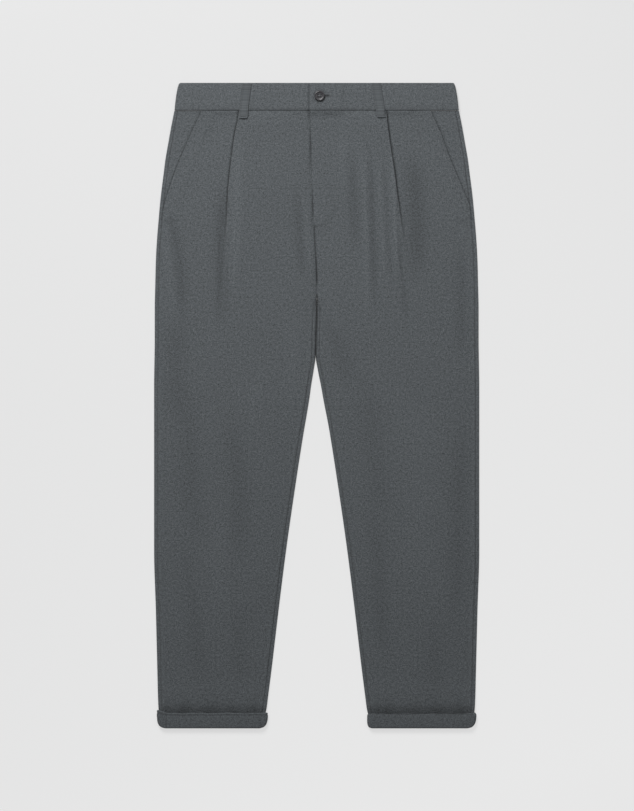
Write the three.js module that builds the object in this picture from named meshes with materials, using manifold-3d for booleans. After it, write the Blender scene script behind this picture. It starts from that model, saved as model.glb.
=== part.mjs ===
// Men's pleated chinos with turn-ups, laid flat on their back, front up. Millimetres.
// +Y runs up to the waist, +X to the wearer's left, +Z up. The origin is on the surface they lie on,
// under the middle of the garment.
import * as THREE from 'three';
import { mergeVertices } from 'three/addons/utils/BufferGeometryUtils.js';
import Module from 'manifold-3d';

const wasm = await Module();
wasm.setup();

// ---- Cloth --------------------------------------------------------------------------------------
const CLOTH = 1.0; // wall of one ply of the trouser cloth
const PLY_GAP = 0.3; // air between plies that lie on each other
const SEAM_GAP = 0.3; // between two pieces that are sewn together
const BODY_AIR = 0.8; // between the back and the lowest ply of the front
const SEAM_INSET = 5.7; // side seam and inseam, in from the laid edge of the leg
const PITCH = CLOTH + PLY_GAP;
const BACK_LEVEL = CLOTH / 2; // middle of the back's wall
const PLY_1 = CLOTH + BODY_AIR + CLOTH / 2; // middle of the front's lowest ply
const PLY_2 = PLY_1 + PITCH;

// ---- Waistband, loops, turn-ups, button ---------------------------------------------------------
const BAND_WALL = 1.8;
const BAND_AIR = 1.2; // between the back run and the front run of the band
const BAND_SEAM_Y = 457;
const BAND_UNDERLAP = 30; // the right band runs this far past the middle
const BAND_END_X = -11; // where the left band ends, on top
const LOOP_WALL = 1.3;
const LOOP_WIDTH = 13.5;
const LOOP_FOOT_Y = 444.5;
const CUFF_WALL = 1.8; // two plies
const CUFF_SEAM = { outer: 233, inner: 87 }; // turn-up seams, from the middle line
const BUTTON = { x: 4.4, y: 479.2, radius: 7.2, thickness: 2.4, shank: 1.1, hole: 0.9, spread: 1.7 };
const BUTTONHOLE = { from: -1.5, to: 18.5, width: 2.9 };

// ---- Cuts across the body and legs, one row per cut, from the waist down ------------------------
// outer: middle line to the side edge. inner: half the gap between the legs. line: where the front
// edges meet or lap. lift: height of the back off the surface. roll: how far the back's inside edge
// is turned up, in degrees. crown: fullness of the leg. pleat: depth of the pleat's fold, below 0
// once it has opened. plies: its height in plies.
const CUTS = [
  { y: 456.7, outer: 220.5, inner: 0.15, line: -10.3, lift: 1.7, roll: 0, crown: 0, pleat: 15, plies: 2 },
  { y: 440, outer: 223.8, inner: 0.15, line: -9.6, lift: 1.6, roll: 0, crown: 0, pleat: 14, plies: 2 },
  { y: 420, outer: 227.7, inner: 0.15, line: -8.7, lift: 0.6, roll: 0, crown: 0, pleat: 13, plies: 2 },
  { y: 390, outer: 232.9, inner: 0.15, line: -7.7, lift: 0, roll: 0, crown: 0, pleat: 11, plies: 2 },
  { y: 350, outer: 238.4, inner: 0.15, line: -6.6, lift: 0, roll: 0, crown: 0, pleat: 8.5, plies: 2 },
  { y: 310, outer: 243.1, inner: 0.15, line: -5, lift: 0, roll: 0, crown: 0, pleat: 6, plies: 2 },
  { y: 292, outer: 244.6, inner: 0.15, line: -4.2, lift: 0, roll: 0, crown: 0, pleat: 5, plies: 2 },
  { y: 280, outer: 245.7, inner: 0.15, line: -3.8, lift: 0, roll: 0, crown: 0, pleat: 4.2, plies: 2 },
  { y: 262, outer: 247.1, inner: 0.15, line: -2.6, lift: 0, roll: 0, crown: 0, pleat: 3, plies: 2 },
  { y: 245, outer: 248.3, inner: 0.15, line: -1.7, lift: 0, roll: 0, crown: 0.1, pleat: -2.5, plies: 1.7 },
  { y: 225, outer: 249.2, inner: 0.15, line: -0.5, lift: 0, roll: 0, crown: 0.2, pleat: -6, plies: 1.2 },
  { y: 200, outer: 249.9, inner: 0.15, line: 0.5, lift: 0, roll: 0, crown: 0.3, pleat: -9, plies: 0.9 },
  { y: 182, outer: 250.3, inner: 0.15, line: 0.4, lift: 0, roll: 0, crown: 0.4, pleat: -12, plies: 0.8 },
  { y: 174, outer: 250.5, inner: 0.15, line: 0.4, lift: 0, roll: 45, crown: 0.45, pleat: -12, plies: 0.7 },
  { y: 166, outer: 250.7, inner: 0.15, line: 0.4, lift: 0, roll: 90, crown: 0.5, pleat: -12, plies: 0.7 },
  { y: 158, outer: 250.9, inner: 0.15, line: 0.4, lift: 0, roll: 135, crown: 0.5, pleat: -13, plies: 0.7 },
  { y: 150, outer: 251, inner: 0.15, line: 0.4, lift: 0, roll: 180, crown: 0.6, pleat: -14, plies: 0.6 },
  { y: 110, outer: 251, inner: 0.15, line: -1.3, lift: 0, roll: 180, crown: 0.7, pleat: -14, plies: 0.6 },
  { y: 67, outer: 251.5, inner: 1.2, line: -1.5, lift: 0, roll: 180, crown: 0.8, pleat: -14, plies: 0.5 },
  { y: 20, outer: 252, inner: 9, line: -0.9, lift: 0, roll: 180, crown: 0.9, pleat: -14, plies: 0.5 },
  { y: -84, outer: 252, inner: 27, line: 0, lift: 0, roll: 180, crown: 0.9, pleat: -14, plies: 0.4 },
  { y: -200, outer: 252, inner: 43.9, line: 0, lift: 0, roll: 180, crown: 0.9, pleat: -14, plies: 0.4 },
  { y: -317, outer: 249, inner: 59, line: 0, lift: 0, roll: 180, crown: 0.8, pleat: -14, plies: 0.3 },
  { y: -420, outer: 246.8, inner: 71.2, line: 0, lift: 0, roll: 180, crown: 0.5, pleat: -14, plies: 0.2 },
  { y: -450, outer: 245.8, inner: 75, line: 0, lift: 1.2, roll: 180, crown: 0.2, pleat: -14, plies: 0.1 },
  { y: -476, outer: 244.6, inner: 79.2, line: 0, lift: 2.1, roll: 180, crown: 0, pleat: -14, plies: 0 },
  { y: -494, outer: 240.5, inner: 83.5, line: 0, lift: 2.1, roll: 180, crown: 0, pleat: -14, plies: 0 },
];

// Fly: how far the right front runs past the middle under the left one, and where the fly closes.
const FLY = { underlap: 14, narrowed: 8, narrowY: 292, closedY: 280 };

// Fold edge of each pleat, from the middle line; below the pleat it is the middle of the leg.
const PLEAT_LINE = [
  { y: 457, right: 119.5, left: 106.5 },
  { y: 420, right: 126, left: 111 },
  { y: 390, right: 130.2, left: 115.3 },
  { y: 350, right: 134.8, left: 121.6 },
  { y: 310, right: 137.3, left: 126.5 },
  { y: 262, right: 139.8, left: 132 },
  { y: 200, right: 143.5, left: 139 },
  { y: 150, right: 146, left: 143.5 },
  { y: 20, right: 151, left: 151 },
  { y: -200, right: 157, left: 157 },
  { y: -494, right: 161, left: 161 },
];

// Slanted pocket edge of each front, from the middle line. It ends in the side seam.
const POCKET_LINE = [
  { y: 457, right: 178.5, left: 176.5 },
  { y: 442, right: 185, left: 183 },
  { y: 397, right: 205, left: 201 },
  { y: 360, right: 220, left: 215.5 },
  { y: 324, right: 232, left: 231 },
  { y: 301, right: 239, left: 239 },
];
const POCKET = { facingReach: 17, rampFrom: 26, rampTo: 18.2, facingFootY: 285, raisedAbove: 280 };

// Waistband, one row per cut, from its seam up: outer as above, front and back height of the row.
const BAND = [
  { outer: 220.5, back: 457, right: 457, left: 457 },
  { outer: 219, back: 469, right: 469, left: 469 },
  { outer: 217.5, back: 481, right: 480.5, left: 480.8 },
  { outer: 215, back: 494, right: 492.5, left: 493.6 },
  { outer: 213, back: 500, right: 498, left: 499.5 },
];

// Turn-up, one row per cut, from its top edge down. flare lifts the outer top corner.
const CUFF = [
  { y: -477, outer: 247.5, inner: 76.7, flare: 5 },
  { y: -485, outer: 247, inner: 76.9, flare: 0 },
  { y: -492, outer: 245.5, inner: 77.6, flare: 0 },
  { y: -497, outer: 242, inner: 79.5, flare: 0 },
  { y: -500, outer: 237.5, inner: 82.8, flare: 0 },
];

// Front belt loops: how far out the middle of each is at its top and at its foot, and its top.
const FRONT_LOOPS = {
  right: { top: 107.7, foot: 114.2, topY: 497.6 },
  left: { top: 92.3, foot: 100.4, topY: 499.1 },
};
const BACK_LOOPS = { side: 128, topY: 499.6 };

const SIDES = { right: -1, left: 1 };
const ROLL_STEPS = 4;

// ---- Materials ----------------------------------------------------------------------------------
const cloth = (colour) => new THREE.MeshStandardMaterial({ color: colour, roughness: 0.92, metalness: 0 });
const LOOKS = {
  panel: () => cloth(0x54595c),
  facing: () => cloth(0x565b5e),
  band: () => cloth(0x5a5e61),
  loop: () => cloth(0x595d60),
  cuff: () => cloth(0x4a4d50),
  button: () => new THREE.MeshStandardMaterial({ color: 0x34343a, roughness: 0.45, metalness: 0 }),
};

// ---- Helpers ------------------------------------------------------------------------------------
// A named column at height y, straight between the rows of a table that runs downwards.
function columnAt(table, name, y) {
  const lowest = table[table.length - 1];
  if (y >= table[0].y) return table[0][name];
  if (y <= lowest.y) return lowest[name];
  const i = table.findIndex((row) => row.y <= y);
  const above = table[i - 1];
  const below = table[i];
  return THREE.MathUtils.mapLinear(y, above.y, below.y, above[name], below[name]);
}

// Normal of a section at point j in the x-z plane, lengthened at corners so the wall keeps its width.
function mitre(section, j) {
  const normals = [];
  for (const k of [j - 1, j]) {
    if (k < 0 || k + 1 >= section.length) continue;
    const dx = section[k + 1][0] - section[k][0];
    const dz = section[k + 1][2] - section[k][2];
    const length = Math.hypot(dx, dz);
    normals.push([-dz / length, dx / length]);
  }
  const [a, b] = [normals[0], normals[normals.length - 1]];
  const scale = 1 / (1 + a[0] * b[0] + a[1] * b[1]);
  return [(a[0] + b[0]) * scale, (a[1] + b[1]) * scale];
}

// Turns an indexed mesh round if its faces point inwards.
function facingOut(positions, triangles) {
  const corner = (k) => new THREE.Vector3().fromArray(positions, triangles[k] * 3);
  let volume = 0;
  for (let k = 0; k < triangles.length; k += 3) {
    volume += corner(k).dot(corner(k + 1).cross(corner(k + 2)));
  }
  return volume > 0 ? triangles : triangles.slice().reverse();
}

function meshGeometry(positions, triangles) {
  const geometry = new THREE.BufferGeometry();
  geometry.setAttribute('position', new THREE.Float32BufferAttribute(positions, 3));
  geometry.setIndex(facingOut(positions, triangles));
  return geometry;
}

// A cloth wall. Each section is a row of [x, y, z] along its middle, all with as many points; the wall
// stands half its thickness to either side of them and is closed at its four edges.
function wall(sections, thickness) {
  const columns = sections[0].length;
  const positions = [];
  for (const section of sections) {
    for (const face of [0.5, -0.5]) {
      section.forEach(([x, y, z], j) => {
        const [nx, nz] = mitre(section, j);
        positions.push(x + nx * face * thickness, y, z + nz * face * thickness);
      });
    }
  }
  const triangles = [];
  const quad = (a, b, c, d) => triangles.push(a, b, c, a, c, d);
  const top = (i, j) => i * 2 * columns + j;
  const under = (i, j) => top(i, j) + columns;
  const lastRow = sections.length - 1;
  const lastColumn = columns - 1;
  for (let i = 0; i < lastRow; i += 1) {
    for (let j = 0; j < lastColumn; j += 1) {
      quad(top(i, j), top(i, j + 1), top(i + 1, j + 1), top(i + 1, j));
      quad(under(i, j), under(i + 1, j), under(i + 1, j + 1), under(i, j + 1));
    }
    quad(top(i, 0), top(i + 1, 0), under(i + 1, 0), under(i, 0));
    quad(top(i, lastColumn), under(i, lastColumn), under(i + 1, lastColumn), top(i + 1, lastColumn));
  }
  for (let j = 0; j < lastColumn; j += 1) {
    quad(top(0, j), under(0, j), under(0, j + 1), top(0, j + 1));
    quad(top(lastRow, j), top(lastRow, j + 1), under(lastRow, j + 1), under(lastRow, j));
  }
  return meshGeometry(positions, triangles);
}

function toSolid(geometry) {
  const bare = geometry.clone();
  bare.deleteAttribute('normal');
  bare.deleteAttribute('uv');
  const merged = mergeVertices(bare, 1e-4);
  const vertProperties = new Float32Array(merged.attributes.position.array);
  const triVerts = new Uint32Array(merged.index.array);
  return new wasm.Manifold(new wasm.Mesh({ numProp: 3, vertProperties, triVerts }));
}

function fromSolid(solid) {
  const mesh = solid.getMesh();
  return meshGeometry(Array.from(mesh.vertProperties), Array.from(mesh.triVerts));
}

// Points of a half round turn, from the upper run down to the lower one: its outermost reach is at
// `edge`, and [u, height] pairs run over the top, round the edge and under.
function turn(edge, upper, lower, thickness) {
  const radius = (upper - lower) / 2;
  const halfStep = Math.PI / ROLL_STEPS / 2;
  const centre = edge - radius - thickness / 2 / Math.cos(halfStep);
  const points = [];
  for (let k = 0; k <= ROLL_STEPS; k += 1) {
    const angle = Math.PI / 2 - (k * Math.PI) / ROLL_STEPS;
    points.push([centre + radius * Math.cos(angle), lower + radius + radius * Math.sin(angle)]);
  }
  return points;
}

// ---- Inside edge of the back --------------------------------------------------------------------
// A strip as long as the half turn and the stretch up to the inseam, curled up by `roll` degrees.
// Points run outwards from its free end, as [v, height], v counted from the laid edge.
function insideEdge(roll) {
  const theta = THREE.MathUtils.degToRad(roll);
  const radius = (PLY_1 - BACK_LEVEL) / 2;
  const arc = Math.PI * radius;
  const reach = CLOTH / 2 / Math.cos(Math.PI / ROLL_STEPS / 2);
  const full = SEAM_INSET - SEAM_GAP / 2 - radius - reach;
  const tip = THREE.MathUtils.lerp(SEAM_GAP, full, (roll / 180) ** 2);
  const bend = theta > 0 ? arc / theta : 0;
  const early = Math.min(theta, Math.PI / 2);
  const along = (turned) => (theta > 0 ? bend * Math.sin(turned) : 0);
  const extent = (theta > 0 ? along(early) : arc) + tip * Math.max(Math.cos(theta), 0);
  const start = extent + reach * Math.sin(early);
  const points = [];
  for (let k = 0; k <= ROLL_STEPS; k += 1) {
    const part = k / ROLL_STEPS;
    const v = theta > 0 ? start - along(theta * part) : start - arc * part;
    const height = theta > 0 ? bend * (1 - Math.cos(theta * part)) : 0;
    points.push([v, BACK_LEVEL + height]);
  }
  const [v, height] = points[ROLL_STEPS];
  points.push([v - tip * Math.cos(theta), height + tip * Math.sin(theta)]);
  return points.reverse();
}

// How far in from the laid edge the front begins, beside that curled edge.
function frontInset(roll) {
  if (roll === 0) return 0;
  return insideEdge(roll)[0][0] + SEAM_GAP + 1.2 * CLOTH * Math.sin(THREE.MathUtils.degToRad(roll));
}

// ---- Panels -------------------------------------------------------------------------------------
const place = (sign, cut) => ([u, height]) => [sign * u, cut.y, height + cut.lift];

function backPanel(side) {
  const sign = SIDES[side];
  const sections = CUTS.map((cut) => {
    const middle = cut.roll > 0 ? sign * cut.line : 0;
    const inside = insideEdge(cut.roll).map(([v, height]) => [middle + cut.inner + v, height]);
    const outside = turn(cut.outer, PLY_1, BACK_LEVEL, CLOTH).reverse();
    const from = inside[inside.length - 1][0];
    const to = outside[0][0];
    const flat = [1 / 3, 2 / 3].map((part) => [THREE.MathUtils.lerp(from, to, part), BACK_LEVEL]);
    const seam = [cut.outer - SEAM_INSET + SEAM_GAP / 2, PLY_1];
    return [...inside, ...flat, ...outside, seam].map(place(sign, cut));
  });
  return wall(sections, CLOTH);
}

// Where the front's inner edge is on a cut, how far its level stretch runs, and at what height.
function frontEdge(cut, side) {
  const sign = SIDES[side];
  if (cut.y < FLY.closedY) {
    const edge = sign * cut.line + cut.inner + frontInset(cut.roll);
    return { edge, level: edge + 15, height: PLY_1 };
  }
  if (side === 'left') return { edge: cut.line, level: FLY.underlap + 3, height: PLY_2 };
  if (cut.y === FLY.closedY) return { edge: SEAM_GAP - cut.line, level: FLY.underlap, height: PLY_1 };
  const underlap = cut.y > FLY.narrowY ? FLY.underlap : FLY.narrowed;
  return { edge: -underlap, level: FLY.underlap, height: PLY_1 };
}

// The front's cut: from the fly, over the pleat's fold edge, back under it, out again to the pocket
// edge or the side seam. Beside the pocket it lies on the hip facing.
function frontSection(cut, side) {
  const { edge, level, height } = frontEdge(cut, side);
  const seam = cut.outer - SEAM_INSET - SEAM_GAP / 2;
  const outer = Math.min(cut.y >= POCKET.facingFootY ? columnAt(POCKET_LINE, side, cut.y) : seam, seam);
  const fold = columnAt(PLEAT_LINE, side, cut.y);
  const rise = cut.plies * PITCH;
  const depth = Math.max(cut.pleat, 0);
  const open = Math.max(-cut.pleat, 0);
  const middle = depth > 0 ? 1 / 2 : 2 / 3;
  const last = cut.y >= POCKET.raisedAbove ? PLY_2 : PLY_1;
  const foldStart = fold - depth - 3;
  const between = (part) => THREE.MathUtils.lerp(level, foldStart, part);
  const climb = (part) => THREE.MathUtils.lerp(height, PLY_1 + rise, part);
  const afterFold = fold + open + 8;
  const points = [
    [edge, height],
    [level, height],
    [between(1 / 3), climb(1 / 3)],
    [between(2 / 3), climb(2 / 3)],
    [foldStart, PLY_1 + rise],
    [fold, PLY_1 + rise],
    [fold + open / 3, PLY_1 + rise * middle],
    [fold - depth + (open * 2) / 3, PLY_1 + rise * (1 - middle)],
    [fold - depth + open, PLY_1],
    [afterFold, PLY_1],
    [(afterFold + outer - POCKET.rampFrom) / 2, PLY_1],
    [outer - POCKET.rampFrom, PLY_1],
    [outer - POCKET.rampTo, last],
    [outer, last],
  ];
  const crowned = ([u, z]) => [u, z + cut.crown * Math.sin((Math.PI * (u - edge)) / (outer - edge))];
  return points.map(crowned).map(place(SIDES[side], cut));
}

const frontPanel = (side) => wall(CUTS.map((cut) => frontSection(cut, side)), CLOTH);

// The hip facing lies between the pocket edge and the side seam and runs on under the front.
function hipFacing(side) {
  const heights = CUTS.map((cut) => cut.y).filter((y) => y > POCKET.facingFootY);
  const sections = [...heights, POCKET.facingFootY].map((y) => {
    const seam = columnAt(CUTS, 'outer', y) - SEAM_INSET - SEAM_GAP / 2;
    const pocket = Math.min(columnAt(POCKET_LINE, side, y), seam);
    const reach = pocket - POCKET.facingReach;
    const cut = { y, lift: columnAt(CUTS, 'lift', y) };
    return [reach, (reach + seam) / 2, seam].map((u) => [u, PLY_1]).map(place(SIDES[side], cut));
  });
  return wall(sections, CLOTH);
}

// ---- Waistband ----------------------------------------------------------------------------------
const BAND_BACK = LOOP_WALL + PLY_GAP + BAND_WALL / 2;
const BAND_FRONT = BAND_BACK + BAND_WALL + BAND_AIR;
const BAND_LAP = BAND_FRONT + BAND_WALL + PLY_GAP;
const BAND_TOP = BAND_FRONT + BAND_WALL / 2;

function waistband(side) {
  const sections = BAND.map((cut) => {
    const laps = side === 'left';
    const end = laps ? BAND_END_X : -BAND_UNDERLAP;
    const level = laps ? BAND_LAP : BAND_FRONT;
    const lap = [[end, level], [BAND_UNDERLAP + 3, level], [BAND_UNDERLAP + 18, BAND_FRONT]];
    const edge = turn(cut.outer, BAND_FRONT, BAND_BACK, BAND_WALL);
    const back = [[140, BAND_BACK], [60, BAND_BACK], [SEAM_GAP / 2, BAND_BACK]];
    const share = (z) => Math.min((z - BAND_BACK) / (BAND_FRONT - BAND_BACK), 1);
    const along = (z) => THREE.MathUtils.lerp(cut.back, cut[side], share(z));
    const route = [...lap, [140, BAND_FRONT], ...edge, ...back];
    return route.map(([u, z]) => [SIDES[side] * u, along(z), z]);
  });
  return wall(sections, BAND_WALL);
}

// A slot with round ends through the left band, for the button's shank.
function buttonhole() {
  const half = BUTTONHOLE.width / 2;
  const slot = new THREE.Shape();
  slot.absarc(BUTTONHOLE.from + half, 0, half, Math.PI / 2, -Math.PI / 2, false);
  slot.absarc(BUTTONHOLE.to - half, 0, half, -Math.PI / 2, Math.PI / 2, false);
  const options = { depth: 2 * BAND_WALL, bevelEnabled: false, curveSegments: 6 };
  const cutter = new THREE.ExtrudeGeometry(slot, options);
  cutter.translate(0, BUTTON.y, BAND_LAP - BAND_WALL);
  return cutter;
}

// ---- Belt loops ---------------------------------------------------------------------------------
// A strap along +Y from `foot` to `top`, with its heights on the way as [y, z] of its middle.
function strap(route) {
  const half = LOOP_WIDTH / 2;
  return wall(route.map(([y, z]) => [[-half, y, z], [half, y, z]]), LOOP_WALL);
}

// A front loop lies on the band, steps up over the pleat, and leans outwards to its foot.
function frontLoop(side) {
  const loop = FRONT_LOOPS[side];
  const onBand = BAND_TOP + PLY_GAP + LOOP_WALL / 2;
  const pleatTop = PLY_1 + 2 * PITCH + CLOTH / 2 + CUTS[0].lift;
  const onPleat = pleatTop + PLY_GAP + LOOP_WALL / 2;
  const length = loop.topY - LOOP_FOOT_Y;
  const step = BAND_SEAM_Y - LOOP_FOOT_Y;
  const route = [[0, onPleat], [step + 1.5, onPleat], [step + 7, onBand], [length, onBand]];
  const mesh = new THREE.Mesh(strap(route), LOOKS.loop());
  mesh.position.set(SIDES[side] * loop.foot, LOOP_FOOT_Y, 0);
  mesh.rotation.z = SIDES[side] * Math.atan2(loop.foot - loop.top, length);
  return mesh;
}

function backLoop(x) {
  const route = [[0, LOOP_WALL / 2], [BACK_LOOPS.topY - LOOP_FOOT_Y, LOOP_WALL / 2]];
  const mesh = new THREE.Mesh(strap(route), LOOKS.loop());
  mesh.position.set(x, LOOP_FOOT_Y, 0);
  return mesh;
}

// ---- Turn-ups -----------------------------------------------------------------------------------
const HEM_LIFT = CUTS[CUTS.length - 1].lift;
const CUFF_LOW = CUFF_WALL / 2;
const CUFF_HIGH = PLY_1 + HEM_LIFT + CLOTH / 2 + PLY_GAP + CUFF_WALL / 2;

function frontCuff(side) {
  const from = CUFF_SEAM.inner + SEAM_GAP / 2;
  const to = CUFF_SEAM.outer - SEAM_GAP / 2;
  const middle = (from + to) / 2;
  const sections = CUFF.map((cut) => [from, middle, to].map((u) => [SIDES[side] * u, cut.y, CUFF_HIGH]));
  return wall(sections, CUFF_WALL);
}

// The back half runs under the leg and rolls up at both edges to the seams on top.
function backCuff(side) {
  const sections = CUFF.map((cut) => {
    const outside = turn(cut.outer, CUFF_HIGH, CUFF_LOW, CUFF_WALL);
    const inside = turn(-cut.inner, CUFF_HIGH, CUFF_LOW, CUFF_WALL).map(([u, z]) => [-u, z]).reverse();
    const start = [CUFF_SEAM.outer + SEAM_GAP / 2, CUFF_HIGH];
    const end = [CUFF_SEAM.inner - SEAM_GAP / 2, CUFF_HIGH];
    const under = [(cut.outer + cut.inner) / 2, CUFF_LOW];
    const onEdge = (k) => k > 1 && k <= ROLL_STEPS;
    const route = [start, ...outside, under, ...inside, end];
    return route.map(([u, z], k) => [SIDES[side] * u, cut.y + (onEdge(k) ? cut.flare : 0), z]);
  });
  return wall(sections, CUFF_WALL);
}

// ---- Button -------------------------------------------------------------------------------------
// A turned disc with a raised rim and four holes, on a shank that stands on the right band.
function buttonGeometry() {
  const { radius, thickness, shank, hole, spread } = BUTTON;
  const neck = BAND_WALL + 2 * PLY_GAP;
  const face = neck + 0.7 * thickness;
  const rim = neck + thickness;
  const profile = [
    [0, 0], [shank, 0], [shank, neck], [radius - 1.2, neck], [radius, neck + 0.9], [radius, face],
    [radius - 0.7, rim], [radius - 1.9, rim], [radius - 2.9, face], [0, face],
  ];
  const turned = new THREE.LatheGeometry(profile.map(([r, z]) => new THREE.Vector2(r, z)), 24);
  turned.rotateX(Math.PI / 2);
  let solid = toSolid(turned);
  for (const [sx, sy] of [[1, 1], [1, -1], [-1, 1], [-1, -1]]) {
    const drill = new THREE.CylinderGeometry(hole, hole, thickness * 4, 8);
    drill.rotateX(Math.PI / 2);
    drill.translate(sx * spread, sy * spread, neck);
    solid = solid.subtract(toSolid(drill));
  }
  return fromSolid(solid);
}

// ---- The trousers -------------------------------------------------------------------------------
const trousers = new THREE.Group();

function add(name, mesh) {
  mesh.name = name;
  trousers.add(mesh);
}

for (const side of Object.keys(SIDES)) {
  const band = waistband(side);
  const holed = () => fromSolid(toSolid(band).subtract(toSolid(buttonhole())));
  add(`front_${side}`, new THREE.Mesh(frontPanel(side), LOOKS.panel()));
  add(`back_${side}`, new THREE.Mesh(backPanel(side), LOOKS.panel()));
  add(`hip_facing_${side}`, new THREE.Mesh(hipFacing(side), LOOKS.facing()));
  add(`waistband_${side}`, new THREE.Mesh(side === 'left' ? holed() : band, LOOKS.band()));
  add(`turn_up_front_${side}`, new THREE.Mesh(frontCuff(side), LOOKS.cuff()));
  add(`turn_up_back_${side}`, new THREE.Mesh(backCuff(side), LOOKS.cuff()));
  add(`belt_loop_front_${side}`, frontLoop(side));
  add(`belt_loop_side_${side}`, backLoop(SIDES[side] * BACK_LOOPS.side));
}
add('belt_loop_back', backLoop(0));

const button = new THREE.Mesh(buttonGeometry(), LOOKS.button());
button.position.set(BUTTON.x, BUTTON.y, BAND_TOP + PLY_GAP);
add('button', button);

export default trousers;
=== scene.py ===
"""Pleated chinos with turn-ups, laid flat with the front up: the cloth, its creases, seams and finishes.

Shapes are worked out in millimetres, +Y to the waist, +X to the wearer's left, and go into the meshes
in metres. A side is "right" or "left" of the wearer, with the sign -1 or 1, and u is the distance from
the middle line towards that side.
"""
import math

import bmesh
import bpy
import numpy as np
from bpy.props import FloatProperty, FloatVectorProperty, PointerProperty
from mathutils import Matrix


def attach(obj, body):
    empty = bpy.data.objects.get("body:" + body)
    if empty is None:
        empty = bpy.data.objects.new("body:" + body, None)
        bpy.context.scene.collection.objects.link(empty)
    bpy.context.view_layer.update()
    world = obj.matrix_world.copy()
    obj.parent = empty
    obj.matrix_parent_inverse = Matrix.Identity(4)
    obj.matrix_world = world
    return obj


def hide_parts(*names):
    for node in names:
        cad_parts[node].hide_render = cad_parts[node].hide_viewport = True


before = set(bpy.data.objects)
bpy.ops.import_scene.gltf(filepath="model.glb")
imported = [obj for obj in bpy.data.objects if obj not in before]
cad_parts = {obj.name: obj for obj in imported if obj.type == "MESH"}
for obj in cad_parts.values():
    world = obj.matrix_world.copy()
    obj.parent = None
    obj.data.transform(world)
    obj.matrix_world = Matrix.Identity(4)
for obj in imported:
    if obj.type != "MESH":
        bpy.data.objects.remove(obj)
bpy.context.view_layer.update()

bl_info = {
    "name": "Pleated chinos",
    "version": (1, 0, 0),
    "blender": (4, 5, 0),
    "location": "3D View > Sidebar > Chinos",
    "description": "Makes a pair of pleated chinos laid flat, piece by piece",
    "category": "Object",
}

MM = 0.001
SIDES = {"right": -1, "left": 1}

# ---- Levels, as in the frame ---------------------------------------------------------------------
BACK_LEVEL = 0.5
FRONT_LEVEL = 2.3
PLY = 1.0
SEAM_INSET = 5.7
BAND_SEAM_Y = 457.0
BAND_BACK = 2.5
BAND_FRONT = 5.5
BAND_LAP = 7.6
BAND_HALF = 0.9
BAND_END_X = -11.0
HEM_Y = -494.0
CUFF_LOW = 0.9
CUFF_HIGH = 6.1
CUFF_HALF = 0.85
BUTTON_AT = (4.4, 479.2)
BUTTON_BASE = 6.7


def rows(names, *values):
    """A small table: {column: array}, its rows sorted from the lowest y up."""
    columns = np.array(sorted(values), float).T
    return dict(zip(names.split(), columns))


OUTLINE = rows(
    "y outer inner line",
    (456.7, 220.5, 0, -10.3), (427, 226.4, 0, -9.0), (404, 230.5, 0, -8.1), (381, 234.5, 0, -7.4),
    (357, 237.5, 0, -6.9), (334, 240.5, 0, -6.1), (311, 243, 0, -5.1), (288, 245, 0, -4.0),
    (264, 247, 0, -2.7), (241, 248.5, 0, -1.5), (218, 249.5, 0, -0.2), (195, 250, 0, 0.5),
    (148, 251, 0, 0.2), (102, 251, 0, -1.3), (78, 251.3, 0, -1.6), (55, 251.7, 3.2, -1.4),
    (32, 252, 7.4, -1.0), (8, 252, 11.2, -0.5), (-38, 252, 19.5, 0), (-131, 252, 34, 0),
    (-224, 252, 47.3, 0), (-317, 249.3, 59, 0), (-410, 247, 70, 0), (-449, 246, 75, 0),
    (-470, 245, 77.7, 0), (-480, 243.6, 80, 0), (-494, 240.5, 83.5, 0),
)

# How high the back is held off the floor by the loops at the waist and by the turn-ups at the hems.
LIFT = rows(
    "y lift",
    (456.7, 1.7), (440, 1.6), (420, 0.6), (390, 0), (-420, 0), (-450, 1.2), (-476, 2.1), (-494, 2.1),
)

# Pleats: fold edge on each side, depth of the fold, and how far the fold is closed.
PLEAT = rows(
    "y right left depth closed",
    (457, 119.5, 106.8, 15, 1), (445, 121, 108.2, 14.5, 1), (420, 126, 111.2, 13, 1),
    (392, 130, 115.2, 11, 1), (360, 134, 120.2, 9, 1), (333, 136.4, 123.4, 7.5, 0.95),
    (306, 137.5, 127.2, 6, 0.8), (280, 138.6, 130.6, 4.5, 0.55), (255, 140, 134.5, 3.5, 0.3),
    (220, 142, 140.5, 2.5, 0.12), (190, 144, 146, 2, 0), (150, 146, 152, 2, 0),
    (20, 151, 156, 2, 0), (-200, 157, 158, 2, 0), (-494, 161, 161, 2, 0),
)

POCKET = rows(
    "y right left",
    (457, 178.4, 176.6), (449, 181.6, 180), (442, 185, 183.2), (420, 195.2, 193), (397, 205, 201),
    (378, 213, 208.6), (360, 220, 215.8), (324, 232, 231), (301, 239, 240.5), (292, 242, 243.5),
)
POCKET_END_Y = 292.0

# Painted shading, a factor on the cloth's colour: its range, and the painted shade that creases,
# folds and hems take off it (with a painted highlight on crease ridges).
PAINTED_SHADING_RANGE = (0.2, 1.2)
PLEAT_PAINTED_SHADOW = {"right": 0.7, "left": 0.85}
TROUGH_PAINTED_SHADE = 0.10
RIDGE_PAINTED_HIGHLIGHT = 0.08
PUCKER_PAINTED_SHADE = 0.12
ABOVE_TURN_UP_PAINTED_SHADE = 0.40
LAST_FOLDED_COLUMN = 60

# Fullness of a leg between back and front, and how far its back's inside edge is rolled up.
FULLNESS = rows(
    "y crown",
    (457, 0), (430, 0.6), (400, 1.2), (300, 2.2), (200, 3.0), (100, 3.6), (0, 4.2), (-200, 4.4),
    (-350, 4.0), (-440, 2.2), (-476, 0.4), (-494, 0),
)
ROLL_FROM_Y = 182.0
ROLL_DONE_Y = 150.0

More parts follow.
